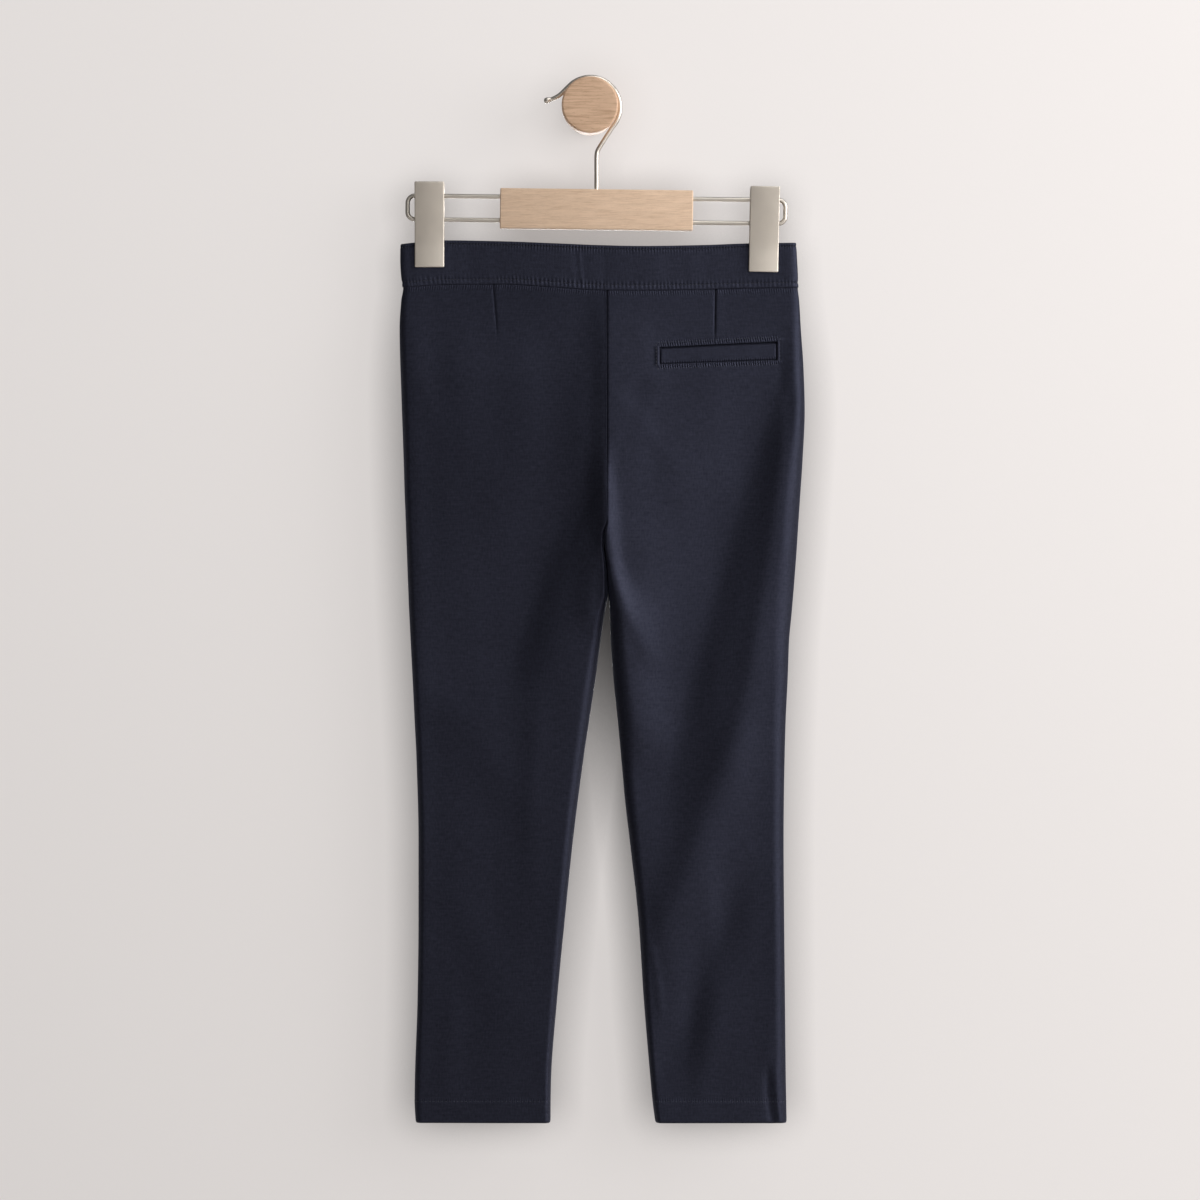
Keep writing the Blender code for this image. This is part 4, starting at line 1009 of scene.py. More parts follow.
class Band:
    """One half of the waistband: points at any distance down from its top."""

    def __init__(self, side):
        self.side = side
        self.base, self.along = band_base(side)
        self.length = self.base[0, :, 2] - self.base[-1, :, 2]
        self.normal = band_normals(self.base)[BAND_MIDDLE_ROW]
        self.x = self.base[BAND_MIDDLE_ROW, :, 0]
        self.on_back = self.base[BAND_MIDDLE_ROW, :, 1] < CLOTH_Y
        # puckers between the stitches, uneven along the band and stronger near the centre back
        chance = random.Random(11 if side == "left" else 12)
        phases = [chance.uniform(-2.2, 2.2) for _ in range(45)]
        strengths = [chance.uniform(0.5, 1.25) for _ in range(24)]
        phase = np.interp(self.along, np.arange(0, 400, 9.0), phases)
        strength = np.interp(self.along, np.arange(0, 400, 17.0), strengths)
        strength = strength + 0.7 * bump(self.x + 8.0, 26.0) * self.on_back
        self.tick = np.sin(2 * math.pi * self.along / TICK_PITCH + phase) * strength
        self.foot_tick = np.sin(2 * math.pi * self.along / FOOT_TICK_PITCH + 1.3 * phase) * strength * 0.85
        self.slow = 0.10 * np.sin(self.along / 9.0 + phase) + 0.06 * np.sin(self.along / 4.1)

    def at(self, distance, out, pucker=0.0):
        """Points of a row this far down from the top, one for each column."""
        share = np.clip(distance / self.length, 0, 1) * (len(self.base) - 1)
        low = np.clip(share.astype(int), 0, len(self.base) - 2)
        t, columns = (share - low)[:, None], np.arange(len(self.length))
        point = self.base[low, columns] * (1 - t) + self.base[low + 1, columns] * t
        point[:, 2] = self.base[0, :, 2] - distance
        tick = np.where(distance > 0.5 * self.length, self.foot_tick, self.tick)
        return point + self.normal * (out + TICK_RISE * pucker * tick)[:, None]

    def row(self, distance, out, pucker):
        swell = np.sin(math.pi * np.clip(distance / self.length, 0, 1)) * self.slow
        return self.at(distance, out + swell + self.pleat(distance), pucker)

    def pleat(self, distance):
        """The small pressed pleat near the centre back, and a fainter one beside it."""
        share = distance / self.length
        ends = ease(share / 0.25) * ease((1.05 - share) / 0.2)
        pressed = 0.26 * bump(self.x + 8.6 - 3.4 * share, 1.5) * ends
        faint = 0.12 * bump(self.x + 14.0 - 2.0 * share, 2.4) * ease(share / 0.4)
        return self.on_back * (pressed + faint)

    def build(self):
        flat = np.zeros(len(self.length))
        rings = [self.row(flat + down, out, pucker) for down, out, pucker in BAND_TOP]
        rings += [self.row(self.length + down, out, pucker) for down, out, pucker in BAND_FOOT]
        rings += [self.at(self.length + down, flat + out) for down, out in BAND_INSIDE_FOOT]
        rings += [self.at(flat + down, flat + out) for down, out in BAND_INSIDE_TOP]
        rings = self.close_ends(np.stack(rings, axis=1))
        u = np.repeat(self.along[:, None], rings.shape[1], axis=1) * MM
        uv = np.stack([u, arc_length(rings, 1) * MM], axis=2).reshape(-1, 2)
        obj = loft(f"waistband_{self.side}_cloth", rings, uv=uv)
        # painted light: the whole band lighter, and its folded edges, worn a little paler, lighter still
        wear_and_painted_light = np.full(rings.shape[:2], BAND_PAINTED_LIGHT)
        for first, last, share in BAND_EDGE_WEAR_AND_LIGHT:
            wear_and_painted_light[:, first:last] = share
        add_flag(obj.data, "wear_and_painted_light", wear_and_painted_light)
        add_flag(obj.data, "seam", self.shade(rings))
        return obj

    def shade(self, rings):
        """Painted shade: the sewn join at the centre back shows as a broken dark line over the middle of the
        band, and the top row of stitches as a dark line; the whole band is also painted a little lighter.
        """
        x, z = rings[:, :, 0], rings[:, :, 2]
        share = (self.base[0, :, 2][:, None] - z) / self.length[:, None]
        dashes = 0.1 + 0.9 * step(np.sin(2 * math.pi * z / 2.4), 0.8)
        middle = ease((share - 0.24) / 0.05) * ease((0.86 - share) / 0.05)
        join = 0.8 * bump(x - CENTRE_SEAM, 0.55) * middle * dashes + 0.15 * bump(x - CENTRE_SEAM + 1.0, 1.3)
        sewn = 0.5 * bump(share * self.length[:, None] - BAND_TOP_STITCH, 0.5)
        return np.clip(join + sewn, 0.0, 1.0) - 0.09  # painted light: the whole band a little lighter than the panels

    def close_ends(self, rings):
        """The two halves meet at the centre back with a hair's gap, and each end's edge is rounded."""
        turn = 1.0 if self.side == "left" else -1.0
        for at, inward, gap in ((0, 1, 0.0), (-1, -1, 0.14)):
            shift = (CENTRE_SEAM - turn * gap) - rings[at, :, 0]
            for i, share in enumerate((1.0, 0.6, 0.3)):
                rings[at + i * inward, :, 0] += shift * share
        return rings


# ---------------------------------------------------------------- threads
# Pitch, length and radius of the stitches in each kind of row, then how many sides a stitch has and its bends:
# how far along, how far out, and how wide.
BAND_STITCH, JOIN_STITCH, HEM_STITCH = (2.25, 1.55, 0.15), (2.0, 1.5, 0.16), (2.9, 2.0, 0.12)
POCKET_STITCH, FLY_STITCH = (2.5, 1.8, 0.15), (2.8, 2.0, 0.16)
STITCH_SIDES = 6
STITCH_BENDS = (
    (0.0, -0.42, 0.6), (0.14, -0.02, 0.95), (0.5, 0.06, 1.0), (0.86, -0.02, 0.95), (1.0, -0.42, 0.6),
)


def stitches(name, path, out, kind, seed, lift=0.02):
    """A row of separate stitches along points; out is the cloth's outward direction at each."""
    path, out = np.asarray(path, float), np.asarray(out, float)
    pitch, length, radius = kind
    distance = run_length(path)
    chance = random.Random(seed)
    size = STITCH_SIDES * len(STITCH_BENDS)
    points, faces = [], []
    for i in range(int((distance[-1] - 0.6) / pitch)):
        start = 0.3 + i * pitch + chance.uniform(-0.12, 0.12)
        sunk = chance.uniform(-0.04, 0.03)
        for bend, drop, width in STITCH_BENDS:
            s = start + bend * length
            here, on, n = (np.array([np.interp(at, distance, line[:, k]) for k in range(3)])
                           for at, line in ((s, path), (s + 0.2, path), (s, out)))
            tangent = unit(on - here)
            n = unit(n - tangent * np.dot(n, tangent))
            centre = here + n * (drop + lift + sunk)
            points.append(ring(centre, n, np.cross(tangent, n), radius * width, STITCH_SIDES))
        faces.append(loft_faces(len(STITCH_BENDS), STITCH_SIDES) + i * size)
    obj = new_mesh(name, np.concatenate(points), np.concatenate(faces))
    with editing(obj) as shape:
        loops = [edge for edge in shape.edges if edge.is_boundary]
        bmesh.ops.holes_fill(shape, edges=loops, sides=STITCH_SIDES)
    return face_out(obj)


def line_on_panel(side, face, points, spacing=0.8, reach=0.4):
    """Points and outward directions along a line across a panel; points are (across, height)."""
    points = np.asarray(points, float)
    distance = run_length(points)
    at = np.linspace(0, distance[-1], max(2, int(distance[-1] / spacing)))
    x, z = (np.interp(at, distance, points[:, k]) for k in range(2))
    slope_x, slope_z = (
        (surface_y(side, face, x + dx, z + dz) - surface_y(side, face, x - dx, z - dz)) / (2 * reach)
        for dx, dz in ((reach, 0.0), (0.0, reach))
    )
    out = FACING[face] * np.stack([-slope_x, np.ones_like(x), -slope_z], axis=1)
    return np.stack([x, surface_y(side, face, x, z), z], axis=1), unit(out)


def hem_line(side, face):
    grid = cloth_surface(side, face, np.linspace(0.0, 1.0, 150), np.array([-0.6, 0.0, 0.6]) + HEM_FOLD)
    return grid[1], outward_normals(grid, face)[1]


# ---------------------------------------------------------------- pocket, fly and button
WELT_SECTION = (  # down from the window's top edge, and out
    (1.15, -1.35), (1.2, -0.95), (1.4, -0.62), (1.8, -0.42), (2.4, -0.33), (3.4, -0.28),
    (5.0, -0.24), (6.8, -0.24), (8.4, -0.30), (9.6, -0.44), (10.3, -0.75), (10.75, -1.25),
)
WELT_DROP = 11.0


def pocket_welt():
    """The folded strip in the pocket's window: its top fold stands free, its other edges are sewn in."""
    across = spaced(POCKET_LEFT + 0.55, (POCKET_RIGHT - 0.55, 0.9))
    downs, outs = np.array(WELT_SECTION).T
    x, down = np.meshgrid(across, downs)
    top, low = pocket_line(POCKET_TOP, x), pocket_line(POCKET_BOTTOM, x)
    z = top - down * (top - low) / WELT_DROP
    ends = ease((x - across[0]) / 0.8) * ease((across[-1] - x) / 0.8)
    out = outs[:, None] + 0.05 * np.sin(x / 5.3) * bump(down - 5.0, 4.0) - 0.5 * (1 - ends)
    outside = np.stack([x, surface_y("right", "back", x, z, seams=False) - out, z], axis=2)
    inside = outside - outward_normals(outside, "back") * 0.5
    inside[:, :, 1] = np.maximum(inside[:, :, 1], outside[:, :, 1] + 0.25)
    flags = {"wear_and_painted_light": 0.5 * bump(down - 1.4, 0.6), "pucker": 0.35 * bump(down - 10.0, 0.9)}
    return shell("pocket_welt_cloth", outside, inside, flags)


def pocket_threads():
    """A row on each side of the window."""
    top = [(POCKET_LEFT - 2.2, POCKET_TOP[0] + 3.4), (POCKET_RIGHT + 2.0, POCKET_TOP[1] + 3.5)]
    low = [(POCKET_LEFT - 2.0, POCKET_BOTTOM[0] - 3.2), (POCKET_RIGHT + 2.0, POCKET_BOTTOM[1] - 3.2)]
    right = [(POCKET_RIGHT + 2.1, POCKET_TOP[1] + 3.0), (POCKET_RIGHT + 2.1, POCKET_BOTTOM[1] - 2.8)]
    left = [(POCKET_LEFT - 2.3, POCKET_TOP[0] + 2.8), (POCKET_LEFT - 2.2, POCKET_BOTTOM[0] - 2.6)]
    rows = []
    for i, line in enumerate((top, low, right, left)):
        path, out = line_on_panel("right", "back", line)
        rows.append(stitches(f"pocket_row_{i}", path, out, POCKET_STITCH, seed=20 + i))
    return join("pocket_stitches", rows)


def fly():
    """Columns run from the fly's curved free edge to the centre front."""
    t = np.concatenate([np.linspace(0, 0.12, 8), np.linspace(0.15, 0.94, 20), np.linspace(0.96, 1.0, 5)])
    s = np.concatenate([np.linspace(0, 0.04, 4), np.linspace(0.06, 0.93, 44), np.linspace(0.94, 1.0, 8)])
    across = FLY_EDGE - FLY_WIDTH * (1 - t)
    corner = FLY_WIDTH * (1 - np.sqrt(np.maximum(0.0, 1 - (1 - t) ** 2))) * FLY_CORNER
    low = FLY_TOP - FLY_LENGTH + corner
    x, z = np.repeat(across[None, :], len(s), axis=0), FLY_TOP + (low - FLY_TOP)[None, :] * s[:, None]
    edge = np.maximum(np.minimum(x - across[0], np.minimum(z - low[None, :], FLY_TOP - z + 0.4)), 0)
    to_seam = x[:, -1:] - x
    rise = 0.15 + 0.95 * np.sqrt(np.clip(edge / 0.9, 0, 1)) * np.sqrt(np.clip(to_seam / 0.7 + 0.05, 0, 1))
    rise = rise - 0.22 * bump(edge - 4.0, 0.7) + 0.10 * bump(edge - 2.2, 1.2)
    y = surface_y("left", "front", x, z, seams=False) + GAP - 0.2
    outside = np.stack([x, y + rise, z], axis=2)
    inside = np.stack([x, y + np.minimum(rise - 0.1, 0.05), z], axis=2)
    flags = {"wear_and_painted_light": 0.5 * bump(edge - 0.5, 0.6), "pucker": 0.5 * bump(edge - 3.4, 1.6)}
    return shell("fly_cloth", outside, inside, flags)


def fly_threads():
    """One curved row of stitches inside the fly's free edge."""
    inset, foot = 4.0, FLY_TOP - FLY_LENGTH
    heights = np.linspace(FLY_TOP - 1.0, foot + FLY_WIDTH * FLY_CORNER, 20)
    points = [(FLY_EDGE - FLY_WIDTH + inset, height) for height in heights]
    for a in np.radians(np.linspace(0, 86, 22)[1:]):
        low = foot + FLY_WIDTH * FLY_CORNER * (1 - math.sin(a)) + inset * math.sin(a)
        points.append((FLY_EDGE - (FLY_WIDTH - inset) * math.cos(a), low))
    path, out = line_on_panel("left", "front", points)
    path[:, 1] += GAP - 0.2 + 0.98
    return stitches("fly_stitches", path, out, FLY_STITCH, seed=40)


def band_face():
    """y of the front of the waistband, behind the button."""
    return CLOTH_Y + leg_depth("left", "front", np.array([BUTTON_ACROSS]), np.array([BUTTON_HEIGHT]))[0] + 0.3


BUTTON_BACK = band_face() + GAP + 0.25
BUTTON_PROFILE = (
    (0.02, 0.0), (4.6, 0.0), (6.2, 0.25), (6.8, 0.75), (7.0, 1.25), (6.95, 1.75), (6.7, 2.25), (6.3, 2.5),
    (5.7, 2.58), (5.2, 2.45), (4.8, 2.1), (4.3, 1.75), (3.4, 1.6), (0.02, 1.6),
)


def waist_button():
    """Four-hole button with a raised rim."""
    obj = lathe("waist_button_turned", BUTTON_PROFILE, (BUTTON_ACROSS, BUTTON_BACK, BUTTON_HEIGHT))
    holes = []
    for up in (-BUTTON_HOLE_OFFSET, BUTTON_HOLE_OFFSET):
        for right in (-BUTTON_HOLE_OFFSET, BUTTON_HOLE_OFFSET):
            ends = [(BUTTON_ACROSS + right, BUTTON_BACK + y, BUTTON_HEIGHT + up) for y in (-1, 4)]
            holes.append(rod("hole", *ends, 0.8, 20))
    return cut_holes(obj, holes)


def button_threads():
    """Two bars of three strands, each from a lower hole to the one above it."""
    made = []
    for right in (-BUTTON_HOLE_OFFSET, BUTTON_HOLE_OFFSET):
        for shift in (-0.28, 0.0, 0.28):
            path = []
            for t in np.linspace(0, 1, 13):
                rise = 1.6 + 0.32 * math.sin(math.pi * t) - (1.2 if t in (0.0, 1.0) else 0)
                height = BUTTON_HEIGHT + BUTTON_HOLE_OFFSET * (2 * t - 1)
                path.append((BUTTON_ACROSS + right + shift, BUTTON_BACK + rise, height))
            made.append(tube("strand", path, 0.17, 8))
    return join("waist_button_threads", made)


def buttonhole():
    """Close bar stitches above and below the slit that the button passes through."""
    y, made = band_face() + 0.1, []
    for x in BUTTON_ACROSS + np.linspace(-10.0, 10.0, 38):
        for side in (-1, 1):
            path = [(x + right, y + out, BUTTON_HEIGHT + side * up)
                    for right, out, up in ((0.0, 0.0, 0.25), (0.12, 0.16, 0.9), (0.22, 0.0, 1.55))]
            made.append(tube("bar", path, 0.16, 6))
    return join("buttonhole_stitches", made)


# ---------------------------------------------------------------- hanger and peg
def turned(points, lean, across, height):
    """Points (across, out, up) turned in the plane of the cloth and moved to their place."""
    x, out, up = np.moveaxis(np.asarray(points, float), -1, 0)
    return np.stack([across + x * math.cos(lean) + up * math.sin(lean), CLOTH_Y + out,
                     height - x * math.sin(lean) + up * math.cos(lean)], axis=-1)


def on_hanger(points):
    """From the hanger's own axes to the part's."""
    return turned(points, HANGER_TILT, HANGER_ACROSS, HANGER_HEIGHT)


def on_clip(points, which):
    """From a clip's own axes, whose third value is the drop from its top, to the part's."""
    points = np.array(points, float)
    points[..., 2] = CLIP_LENGTH / 2 - points[..., 2]
    return turned(points, CLIP_LEANS[which], CLIP_ACROSS[which], CLIP_TOPS[which] - CLIP_LENGTH / 2)


def arc(centre, radius, start, end, steps):
    angles = np.radians(np.linspace(start, end, steps + 1))
    return [(centre[0] + radius * math.cos(a), centre[1] + radius * math.sin(a)) for a in angles]


def rounded(points, passes):
    """A smoother line through the same ends (corners cut, then cut again)."""
    points = [np.array(point, float) for point in points]
    for _ in range(passes):
        line = [points[0]]
        for a, b in zip(points, points[1:]):
            line += [a * 0.75 + b * 0.25, a * 0.25 + b * 0.75]
        points = line + [points[-1]]
    return np.array(points)


def hook():
    """Up from the bar, round over the peg, and down to a small knob."""
    bottom = HANGER_HEIGHT + BAR_HEIGHT / 2 - SHANK_DEPTH + GAP
    path = [(HANGER_ACROSS, bottom + i * 2.0) for i in range(11)]
    path += [(HANGER_ACROSS + right, SHANK_BEND_HEIGHT + up)
             for right, up in ((0.0, -6.0), (0.0, -2.0), (0.5, 0.6), (1.8, 3.2))]
    path += arc((0.1, HOOK_CENTRE_HEIGHT), HOOK_RADIUS, -43.0, 128.0, 52)
    path += [(-17.6, 12.3), (-20.8, 8.9), (-24.4, 6.4), (-28.0, 5.0), (-30.4, 4.4), (-32.0, 4.15)]
    line = rounded(path, 2)
    total = run_length(line)
    left = total[-1] - total
    radii = 1 + 0.32 * bump(left - 1.2, 1.5) - 0.14 * bump(left - 4.2, 1.4)
    points = np.stack([line[:, 0], np.full(len(line), CLOTH_Y), line[:, 1]], axis=1)
    return tube("hanger_hook_wire", points, WIRE, 24, radii)


def rail():
    """A closed loop: one end, then the same turned half round."""
    reach = RAIL_HALF_LENGTH - RAIL_HALF_SPACING
    rise, corner = RAIL_HALF_SPACING - RAIL_CORNER, RAIL_HALF_LENGTH - RAIL_CORNER
    half = arc((corner, -rise), RAIL_CORNER, -90.0, 0.0, 12) + [(RAIL_HALF_LENGTH, 0.0)]
    half += arc((corner, rise), RAIL_CORNER, 0.0, 90.0, 12)
    half += [(reach - 2 * reach * t, RAIL_HALF_SPACING) for t in np.linspace(0, 1, 22)[1:-1]]
    points = [(turn * x, 0.0, turn * z) for turn in (1, -1) for x, z in half]
    return tube("hanger_rail_wire", on_hanger(points), WIRE, 24, closed=True)


def bar():
    obj = placed("hanger_bar_wood", bpy.data.meshes.new("hanger_bar_wood"))
    with editing(obj) as shape:
        bmesh.ops.create_cube(shape, size=1.0)
        for vert in shape.verts:
            vert.co = [value * size * MM for value, size in zip(vert.co, (BAR_LENGTH, BAR_THICK, BAR_HEIGHT))]
        edges = list(shape.edges)
        bmesh.ops.bevel(shape, geom=edges, offset=BAR_BEVEL * MM, segments=4, profile=0.5, affect="EDGES")
    middle = Vector((HANGER_ACROSS, CLOTH_Y, HANGER_HEIGHT)) * MM
    obj.data.transform(Matrix.Translation(middle) @ Matrix.Rotation(HANGER_TILT, 4, "Y"))
    holes = []
    for side in (-1, 1):
        for level in (-RAIL_HALF_SPACING, RAIL_HALF_SPACING):
            ends = on_hanger([(side * (BAR_LENGTH / 2 + past), 0, level) for past in (-9, 4)])
            holes.append(rod("bore", *ends, WIRE + GAP))
    top = HANGER_HEIGHT + BAR_HEIGHT / 2
    holes.append(rod("socket", *((HANGER_ACROSS, CLOTH_Y, top + past) for past in (-3.0, 4)), WIRE + GAP))
    return flat_sides(cut_holes(obj, holes), 28)


def plate_offset(drop):
    """How far a plate stands from the middle plane: an even slope that eases into the flat jaw."""
    jaw = CLIP_LENGTH - CLIP_JAW_LENGTH
    slope, above = (CLIP_TOP_OFFSET - CLIP_JAW_OFFSET) / jaw, jaw - drop
    rise = slope * (above + math.hypot(above, CLIP_THROAT)) / 2
    return CLIP_JAW_OFFSET + rise * (1 - 0.006 * max(0.0, above) / jaw)


def clip_plate(name, which, facing):
    """Bent sheet-metal plate with softly broken edges and short returned flanges above the jaw."""
    rings = []
    for drop in spaced(0.0, (1.2, 0.2), (36.0, 2.2), (46.0, 0.5), (60.2, 1.6), (CLIP_LENGTH, 0.2)):
        end = min(drop, CLIP_LENGTH - drop) / CLIP_BEVEL
        shrink = CLIP_BEVEL * (1 - math.sqrt(max(0.0, 1 - (1 - min(end, 1.0)) ** 2)))
        y = plate_offset(drop)
        flange = CLIP_FLANGE * float(ease((34.0 - drop) / 6.0)) * float(ease(drop / 3.0))
        width = CLIP_WIDTH / 2 - shrink
        outer, inner = y + CLIP_SHEET - shrink * 0.75, y + shrink * 0.1
        corner = [(width - CLIP_BEVEL * across, outer - CLIP_BEVEL * down)
                  for across, down in ((1.0, 0.0), (0.55, 0.07), (0.2, 0.25), (0.0, 0.75))]
        corner += [(width, inner - flange), (width - 0.35, inner - flange - 0.15 * (flange > 0.05)),
                   (width - 0.8, inner - flange), (width - 0.85, inner)]
        half = [(x, facing * depth, drop) for x, depth in corner]
        rings.append(on_clip(half + [(-x, depth, at) for x, depth, at in half[::-1]], which))
    return flat_sides(loft(name, rings), 32)


def clip_core(name, which):
    """Slider block on the rails, between the plates."""
    rings, softened = [], ((0.0, 0.6), (0.4, 0.15), (0.9, 0.0))  # at either end
    levels = [(CORE_TOP + past, soft) for past, soft in softened]
    for drop, soft in levels + [(CORE_BOTTOM - past, soft) for past, soft in softened[::-1]]:
        x, y = CORE_WIDTH / 2 - soft - CORE_CORNER, plate_offset(drop) - GAP - soft - CORE_CORNER
        section = []
        for quarter, centre in ((3, (x, -y)), (0, (x, y)), (1, (-x, y)), (2, (-x, -y))):
            section += arc(centre, CORE_CORNER, 90 * quarter, 90 * quarter + 90, 3)
        rings.append(on_clip([(*point, drop) for point in section], which))
    x, tilt = CLIP_ACROSS[which], math.tan(HANGER_TILT)
    height = HANGER_HEIGHT - (x - HANGER_ACROSS) * tilt
    holes = []
    for level in (-RAIL_HALF_SPACING, RAIL_HALF_SPACING):
        ends = [(x + past, CLOTH_Y, height + level - past * tilt) for past in (-10, 10)]
        holes.append(rod("bore", *ends, WIRE + GAP))
    return flat_sides(cut_holes(loft(name, rings), holes), 28)


def spring(name, which):
    """Turns of spring wire under the slider, which keep the jaws closed."""
    steps, (reach, rise) = 14, SPRING_REACH
    path = []
    for i in range(steps * SPRING_TURNS + 1):
        angle = 2 * math.pi * i / steps
        x = -SPRING_LENGTH / 2 + SPRING_LENGTH * i / (steps * SPRING_TURNS)
        path.append((x, reach * math.cos(angle), SPRING_DROP + rise * math.sin(angle)))
    return tube(name, on_clip(path, which), SPRING_WIRE, 10)


def peg():
    """A round neck with a slightly wider, softly edged head."""
    profile = [(0.02, 0.0), (PEG_NECK_RADIUS, 0.0)]
    profile += [(PEG_NECK_RADIUS, out) for out in (4.0, 10.0, 18.0, 26.0, PEG_NECK_LENGTH - 1.2)]
    profile += [(PEG_NECK_RADIUS + 0.3, PEG_NECK_LENGTH - 0.6)]
    profile += [(PEG_HEAD_RADIUS - 0.3, PEG_NECK_LENGTH - 0.25), (PEG_HEAD_RADIUS, PEG_NECK_LENGTH + 0.2)]
    profile += [(PEG_HEAD_RADIUS, PEG_NECK_LENGTH + 6), (PEG_HEAD_RADIUS, PEG_LENGTH - 6)]
    profile += arc((PEG_HEAD_RADIUS - PEG_EDGE, PEG_LENGTH - PEG_EDGE), PEG_EDGE, 0, 90, 6)
    profile += [(radius, PEG_LENGTH) for radius in (12.0, 4.0, 0.02)]
    return flat_sides(lathe("wall_peg_turned", profile, (0.0, 0.0, 0.0), sides=128, turn=-1.0), 40)


# ---------------------------------------------------------------- putting the object together
NAVY = (0.0064, 0.0065, 0.0094)


def dress_cloth():
    cloth = twill("navy_twill_cloth", NAVY)
    made = {}
    for side in SIDES:
        made[f"back_{side}"] = make_panel(side, "back", BACK_ROWS[side])
        made[f"front_{side}"] = make_panel(side, "front", FRONT_ROWS)
    bands = {side: Band(side) for side in SIDES}
    for side, band in bands.items():
        made[f"waistband_{side}"] = band.build()
    made["pocket_welt"] = pocket_welt()
    made["fly"] = fly()
    for node, piece in made.items():
        dress(piece, cloth, [node])
    return made, bands


def band_threads(band):
    flat = np.zeros(len(band.length))
    rows = []
    for i, distance in enumerate((flat + BAND_TOP_STITCH, band.length - BAND_FOOT_STITCH)):
        path = band.at(distance, flat + 0.16)
        rows.append(stitches(f"band_row_{i}", path, band.normal, BAND_STITCH, seed=60 + i))
    if band.side == "left":
        column = int(np.argmin(np.abs(band.x - 10.6) + 99 * (~band.on_back)))
        path = [band.at(flat + down, flat)[column] for down in np.linspace(7.0, 26.0, 30)]
        out = [band.normal[column]] * len(path)
        rows.append(stitches("band_join", path, out, JOIN_STITCH, seed=70, lift=0.1))
    return join(f"waistband_{band.side}_stitches", rows)


def dress_threads(bands):
    thread = thread_material()
    made = [band_threads(band) for band in bands.values()]
    for side in SIDES:
        rows = [stitches(f"hem_row_{face}", *hem_line(side, face), HEM_STITCH, seed=80, lift=0.06)
                for face in FACING]
        made.append(join(f"hem_{side}_stitches", rows))
    made += [pocket_threads(), fly_threads(), button_threads(), buttonhole()]
    for obj in made:
        dress(obj, thread)
    return {obj.name: obj for obj in made}


def dress_hanger():
    middle = (HANGER_ACROSS * MM, CLOTH_Y * MM, HANGER_HEIGHT * MM)
    wood = beech("bar_beech", 1900.0, (0.775, 0.58, 0.43), (0.67, 0.475, 0.335), 0.2, middle, HANGER_TILT)
    peg_wood = beech("peg_beech", 680.0, (0.69, 0.475, 0.33), (0.49, 0.315, 0.20), 0.3)
    steel = metal("wire_steel", (0.84, 0.78, 0.70), 0.33)
    nickel = metal("clip_nickel", (0.86, 0.79, 0.70), 0.45, brushed=0.25)
    spring_steel = metal("core_steel", (0.36, 0.34, 0.32), 0.42)
    dress(bar(), wood, ["hanger_bar"])
    dress(peg(), peg_wood, ["wall_peg"])
    dress(hook(), steel, ["hanger_hook"])
    dress(rail(), steel, ["hanger_rail"])
    for which, side in enumerate(SIDES):
        for face, facing in (("front", -1), ("back", 1)):
            plate = clip_plate(f"clip_{side}_{face}_metal", which, facing)
            dress(plate, nickel, [f"clip_{side}_{face}_plate"])
        dress(clip_core(f"clip_{side}_slider", which), spring_steel, [f"clip_{side}_core"])
        dress(spring(f"clip_{side}_spring", which), spring_steel)


# ---------------------------------------------------------------- stage, light and camera
# the backdrop's glow: the light and shade on it are painted into an emission
WALL_GLOW = 0.615
SHADE_REACH = 0.033
WALL_Y, FLOOR_Z = 0.0005, -1.1
DAYLIGHT, WARM_LIGHT = (1.0, 0.99, 0.985), (1.0, 0.985, 0.97)
LIT_POINT = (0.0, 0.0, -0.35)


def stage_plane(name, corners, material):
    mesh = bpy.data.meshes.new(name)
    mesh.from_pydata(corners, [], [(0, 1, 2, 3)])
    obj = placed(name, mesh)
    obj.data.materials.append(material)
    return obj


def backdrop(m):
    """A backdrop that glows with painted light, a little dimmer to the left and low down, and with painted
    shade near what hangs in front of it. From behind it isn't there, so the far side can be looked at."""
    x, _, z = m.parts(m.place())
    # painted light: the glow brightens to the right and upwards
    right = (x * 2.5).math("ARCTANGENT") * 0.05
    up = ((z + 0.35) * 2.5).math("ARCTANGENT") * 0.045
    # painted shade: the glow is darkened where little is open to it, faintly round the peg and deepest in the
    # wedge between the legs
    near = m.eased(z, -0.055, -0.025, 1.25, 0.3)
    between = m.eased((x - 0.022).math("ABSOLUTE"), 0.0, 0.055, 1.0, 0.0)
    painted_wedge_shade = between * m.eased(z, -0.70, -0.38, 0.2, 1.7) * z.math("LESS_THAN", -0.2)
    occlusion_for_painted_shade = m.add("AmbientOcclusion", {"Distance": SHADE_REACH}, "AO", samples=12)
    strength = (right + up + WALL_GLOW) * occlusion_for_painted_shade.math("POWER", near + painted_wedge_shade)
    glow = m.add("Emission", {"Color": (1.0, 0.955, 0.935, 1.0), "Strength": strength})
    both = m.add("AddShader", {0: Wire(m.tree, m.shader.outputs[0]), 1: glow})
    facing_away = m.add("NewGeometry", {}, "Backfacing")
    seen = m.add("MixShader", {"Fac": facing_away, 1: both, 2: m.add("BsdfTransparent", {})})
    fill(m.tree, m.tree.nodes["Material Output"], {"Surface": seen})
    return m.material


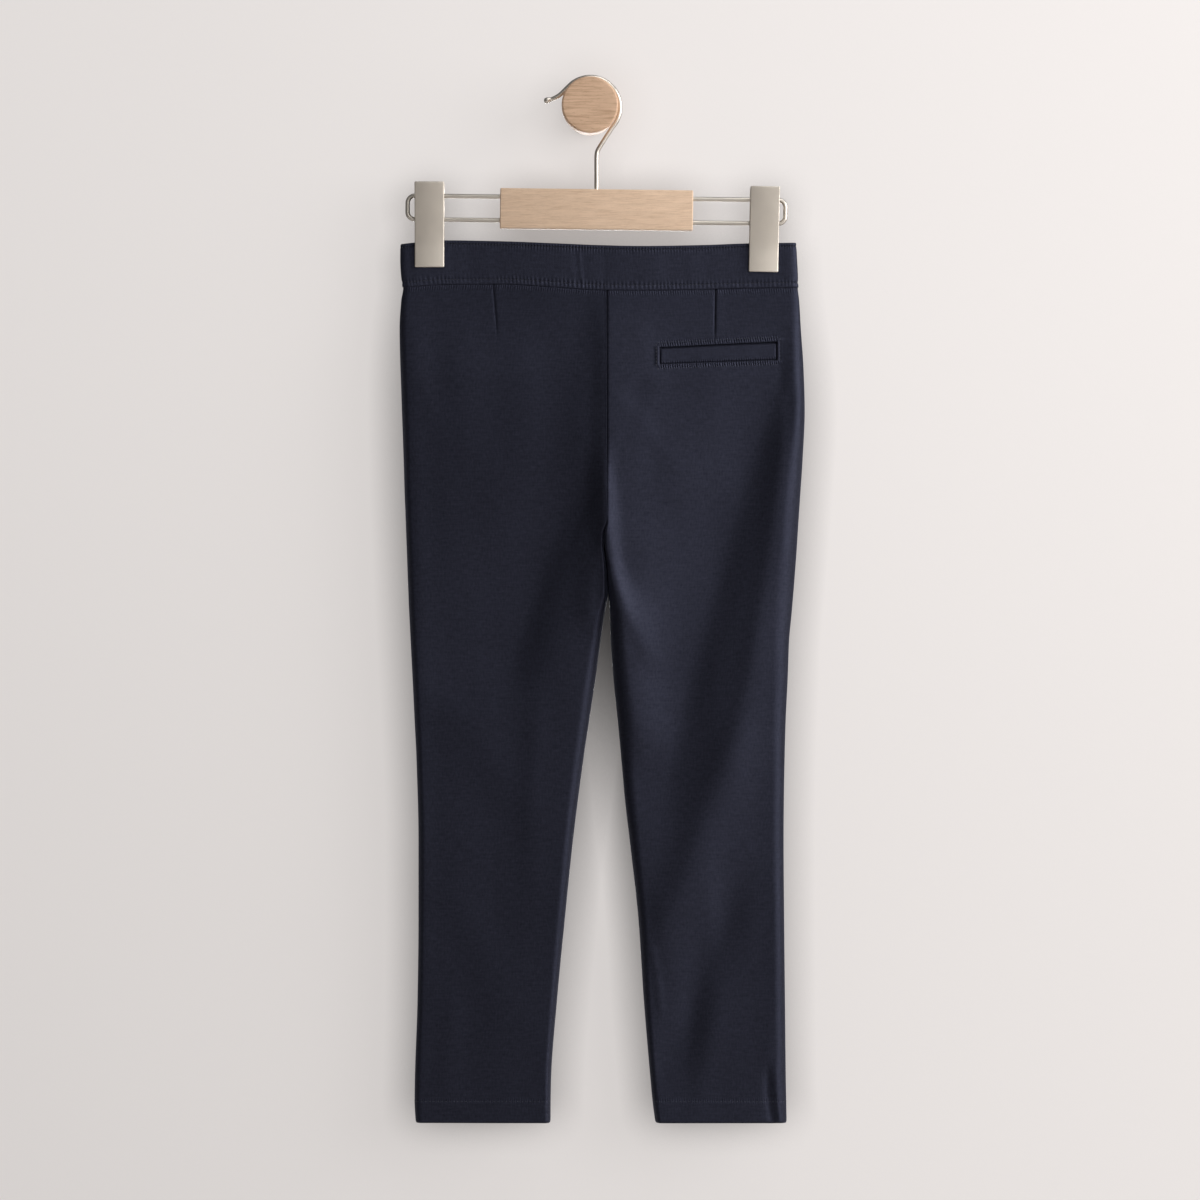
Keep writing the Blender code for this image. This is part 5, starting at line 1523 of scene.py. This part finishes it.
def stage():
    wall = backdrop(paint("wall_paint_and_painted_light", (0.22, 0.21, 0.205), 0.9))
    floor = paint("floor_paint", (0.50, 0.48, 0.465), 0.85).material
    corners = ((-3, FLOOR_Z), (3, FLOOR_Z), (3, 2.2), (-3, 2.2))
    plane = stage_plane("wall", [(x, WALL_Y, z) for x, z in corners], wall)
    plane.visible_shadow = plane.visible_glossy = False
    stage_plane("floor", [(x, y, FLOOR_Z) for x, y in ((-8, -8), (8, -8), (8, 8), (-8, 8))], floor)


def area_light(name, location, size, power, colour):
    light = bpy.data.lights.new(name, "AREA")
    light.shape, light.energy, light.color = "RECTANGLE", power, colour
    light.size, light.size_y = size
    obj = placed(name, light)
    obj.visible_camera = False
    obj.location = location
    obj.rotation_euler = (Vector(LIT_POINT) - Vector(location)).to_track_quat("-Z", "Y").to_euler()


def lights():
    area_light("window", (2.6, -1.3, 0.37), (2.3, 2.2), 63.0, DAYLIGHT)
    area_light("side", (2.00, -0.90, 0.35), (0.9, 1.6), 13.5, DAYLIGHT)
    area_light("top", (0.7, -0.9, 1.7), (1.4, 1.0), 12.5, DAYLIGHT)
    area_light("front", (0.9, -2.8, 0.4), (1.6, 1.8), 9.5, WARM_LIGHT)
    area_light("behind", (0.0, 2.6, -0.35), (0.8, 0.8), 22.0, DAYLIGHT)
    world = bpy.data.worlds.new("studio")
    bpy.context.scene.world = world
    world.use_nodes = True
    tree = world.node_tree
    straight = add_node(tree, "LightPath", {}, "Is Camera Ray")
    strength = add_node(tree, "MapRange", {"Value": straight, "To Min": 0.14, "To Max": 0.62})
    fill(tree, tree.nodes["Background"], {"Color": (*WARM_LIGHT, 1.0), "Strength": strength})


def camera():
    data = bpy.data.cameras.new("camera")
    data.sensor_width, data.lens = 36.0, 208.34
    data.clip_start, data.clip_end = 0.05, 50.0
    obj = placed("camera", data)
    obj.location = (0.0072, -5.027, -0.3554)
    obj.rotation_euler = (math.pi / 2, 0.0, 0.0)
    bpy.context.scene.camera = obj


def main():
    random.seed(7)
    cloth, bands = dress_cloth()
    threads = dress_threads(bands)
    button = paint("button_plastic", (0.016, 0.017, 0.026), 0.35, 900.0, 0.00002)
    dress(waist_button(), button.material, ["waist_button"])
    dress_hanger()
    stage()
    lights()
    camera()
    bpy.context.scene.view_settings.view_transform = "Standard"
    bpy.context.view_layer.update()


main()
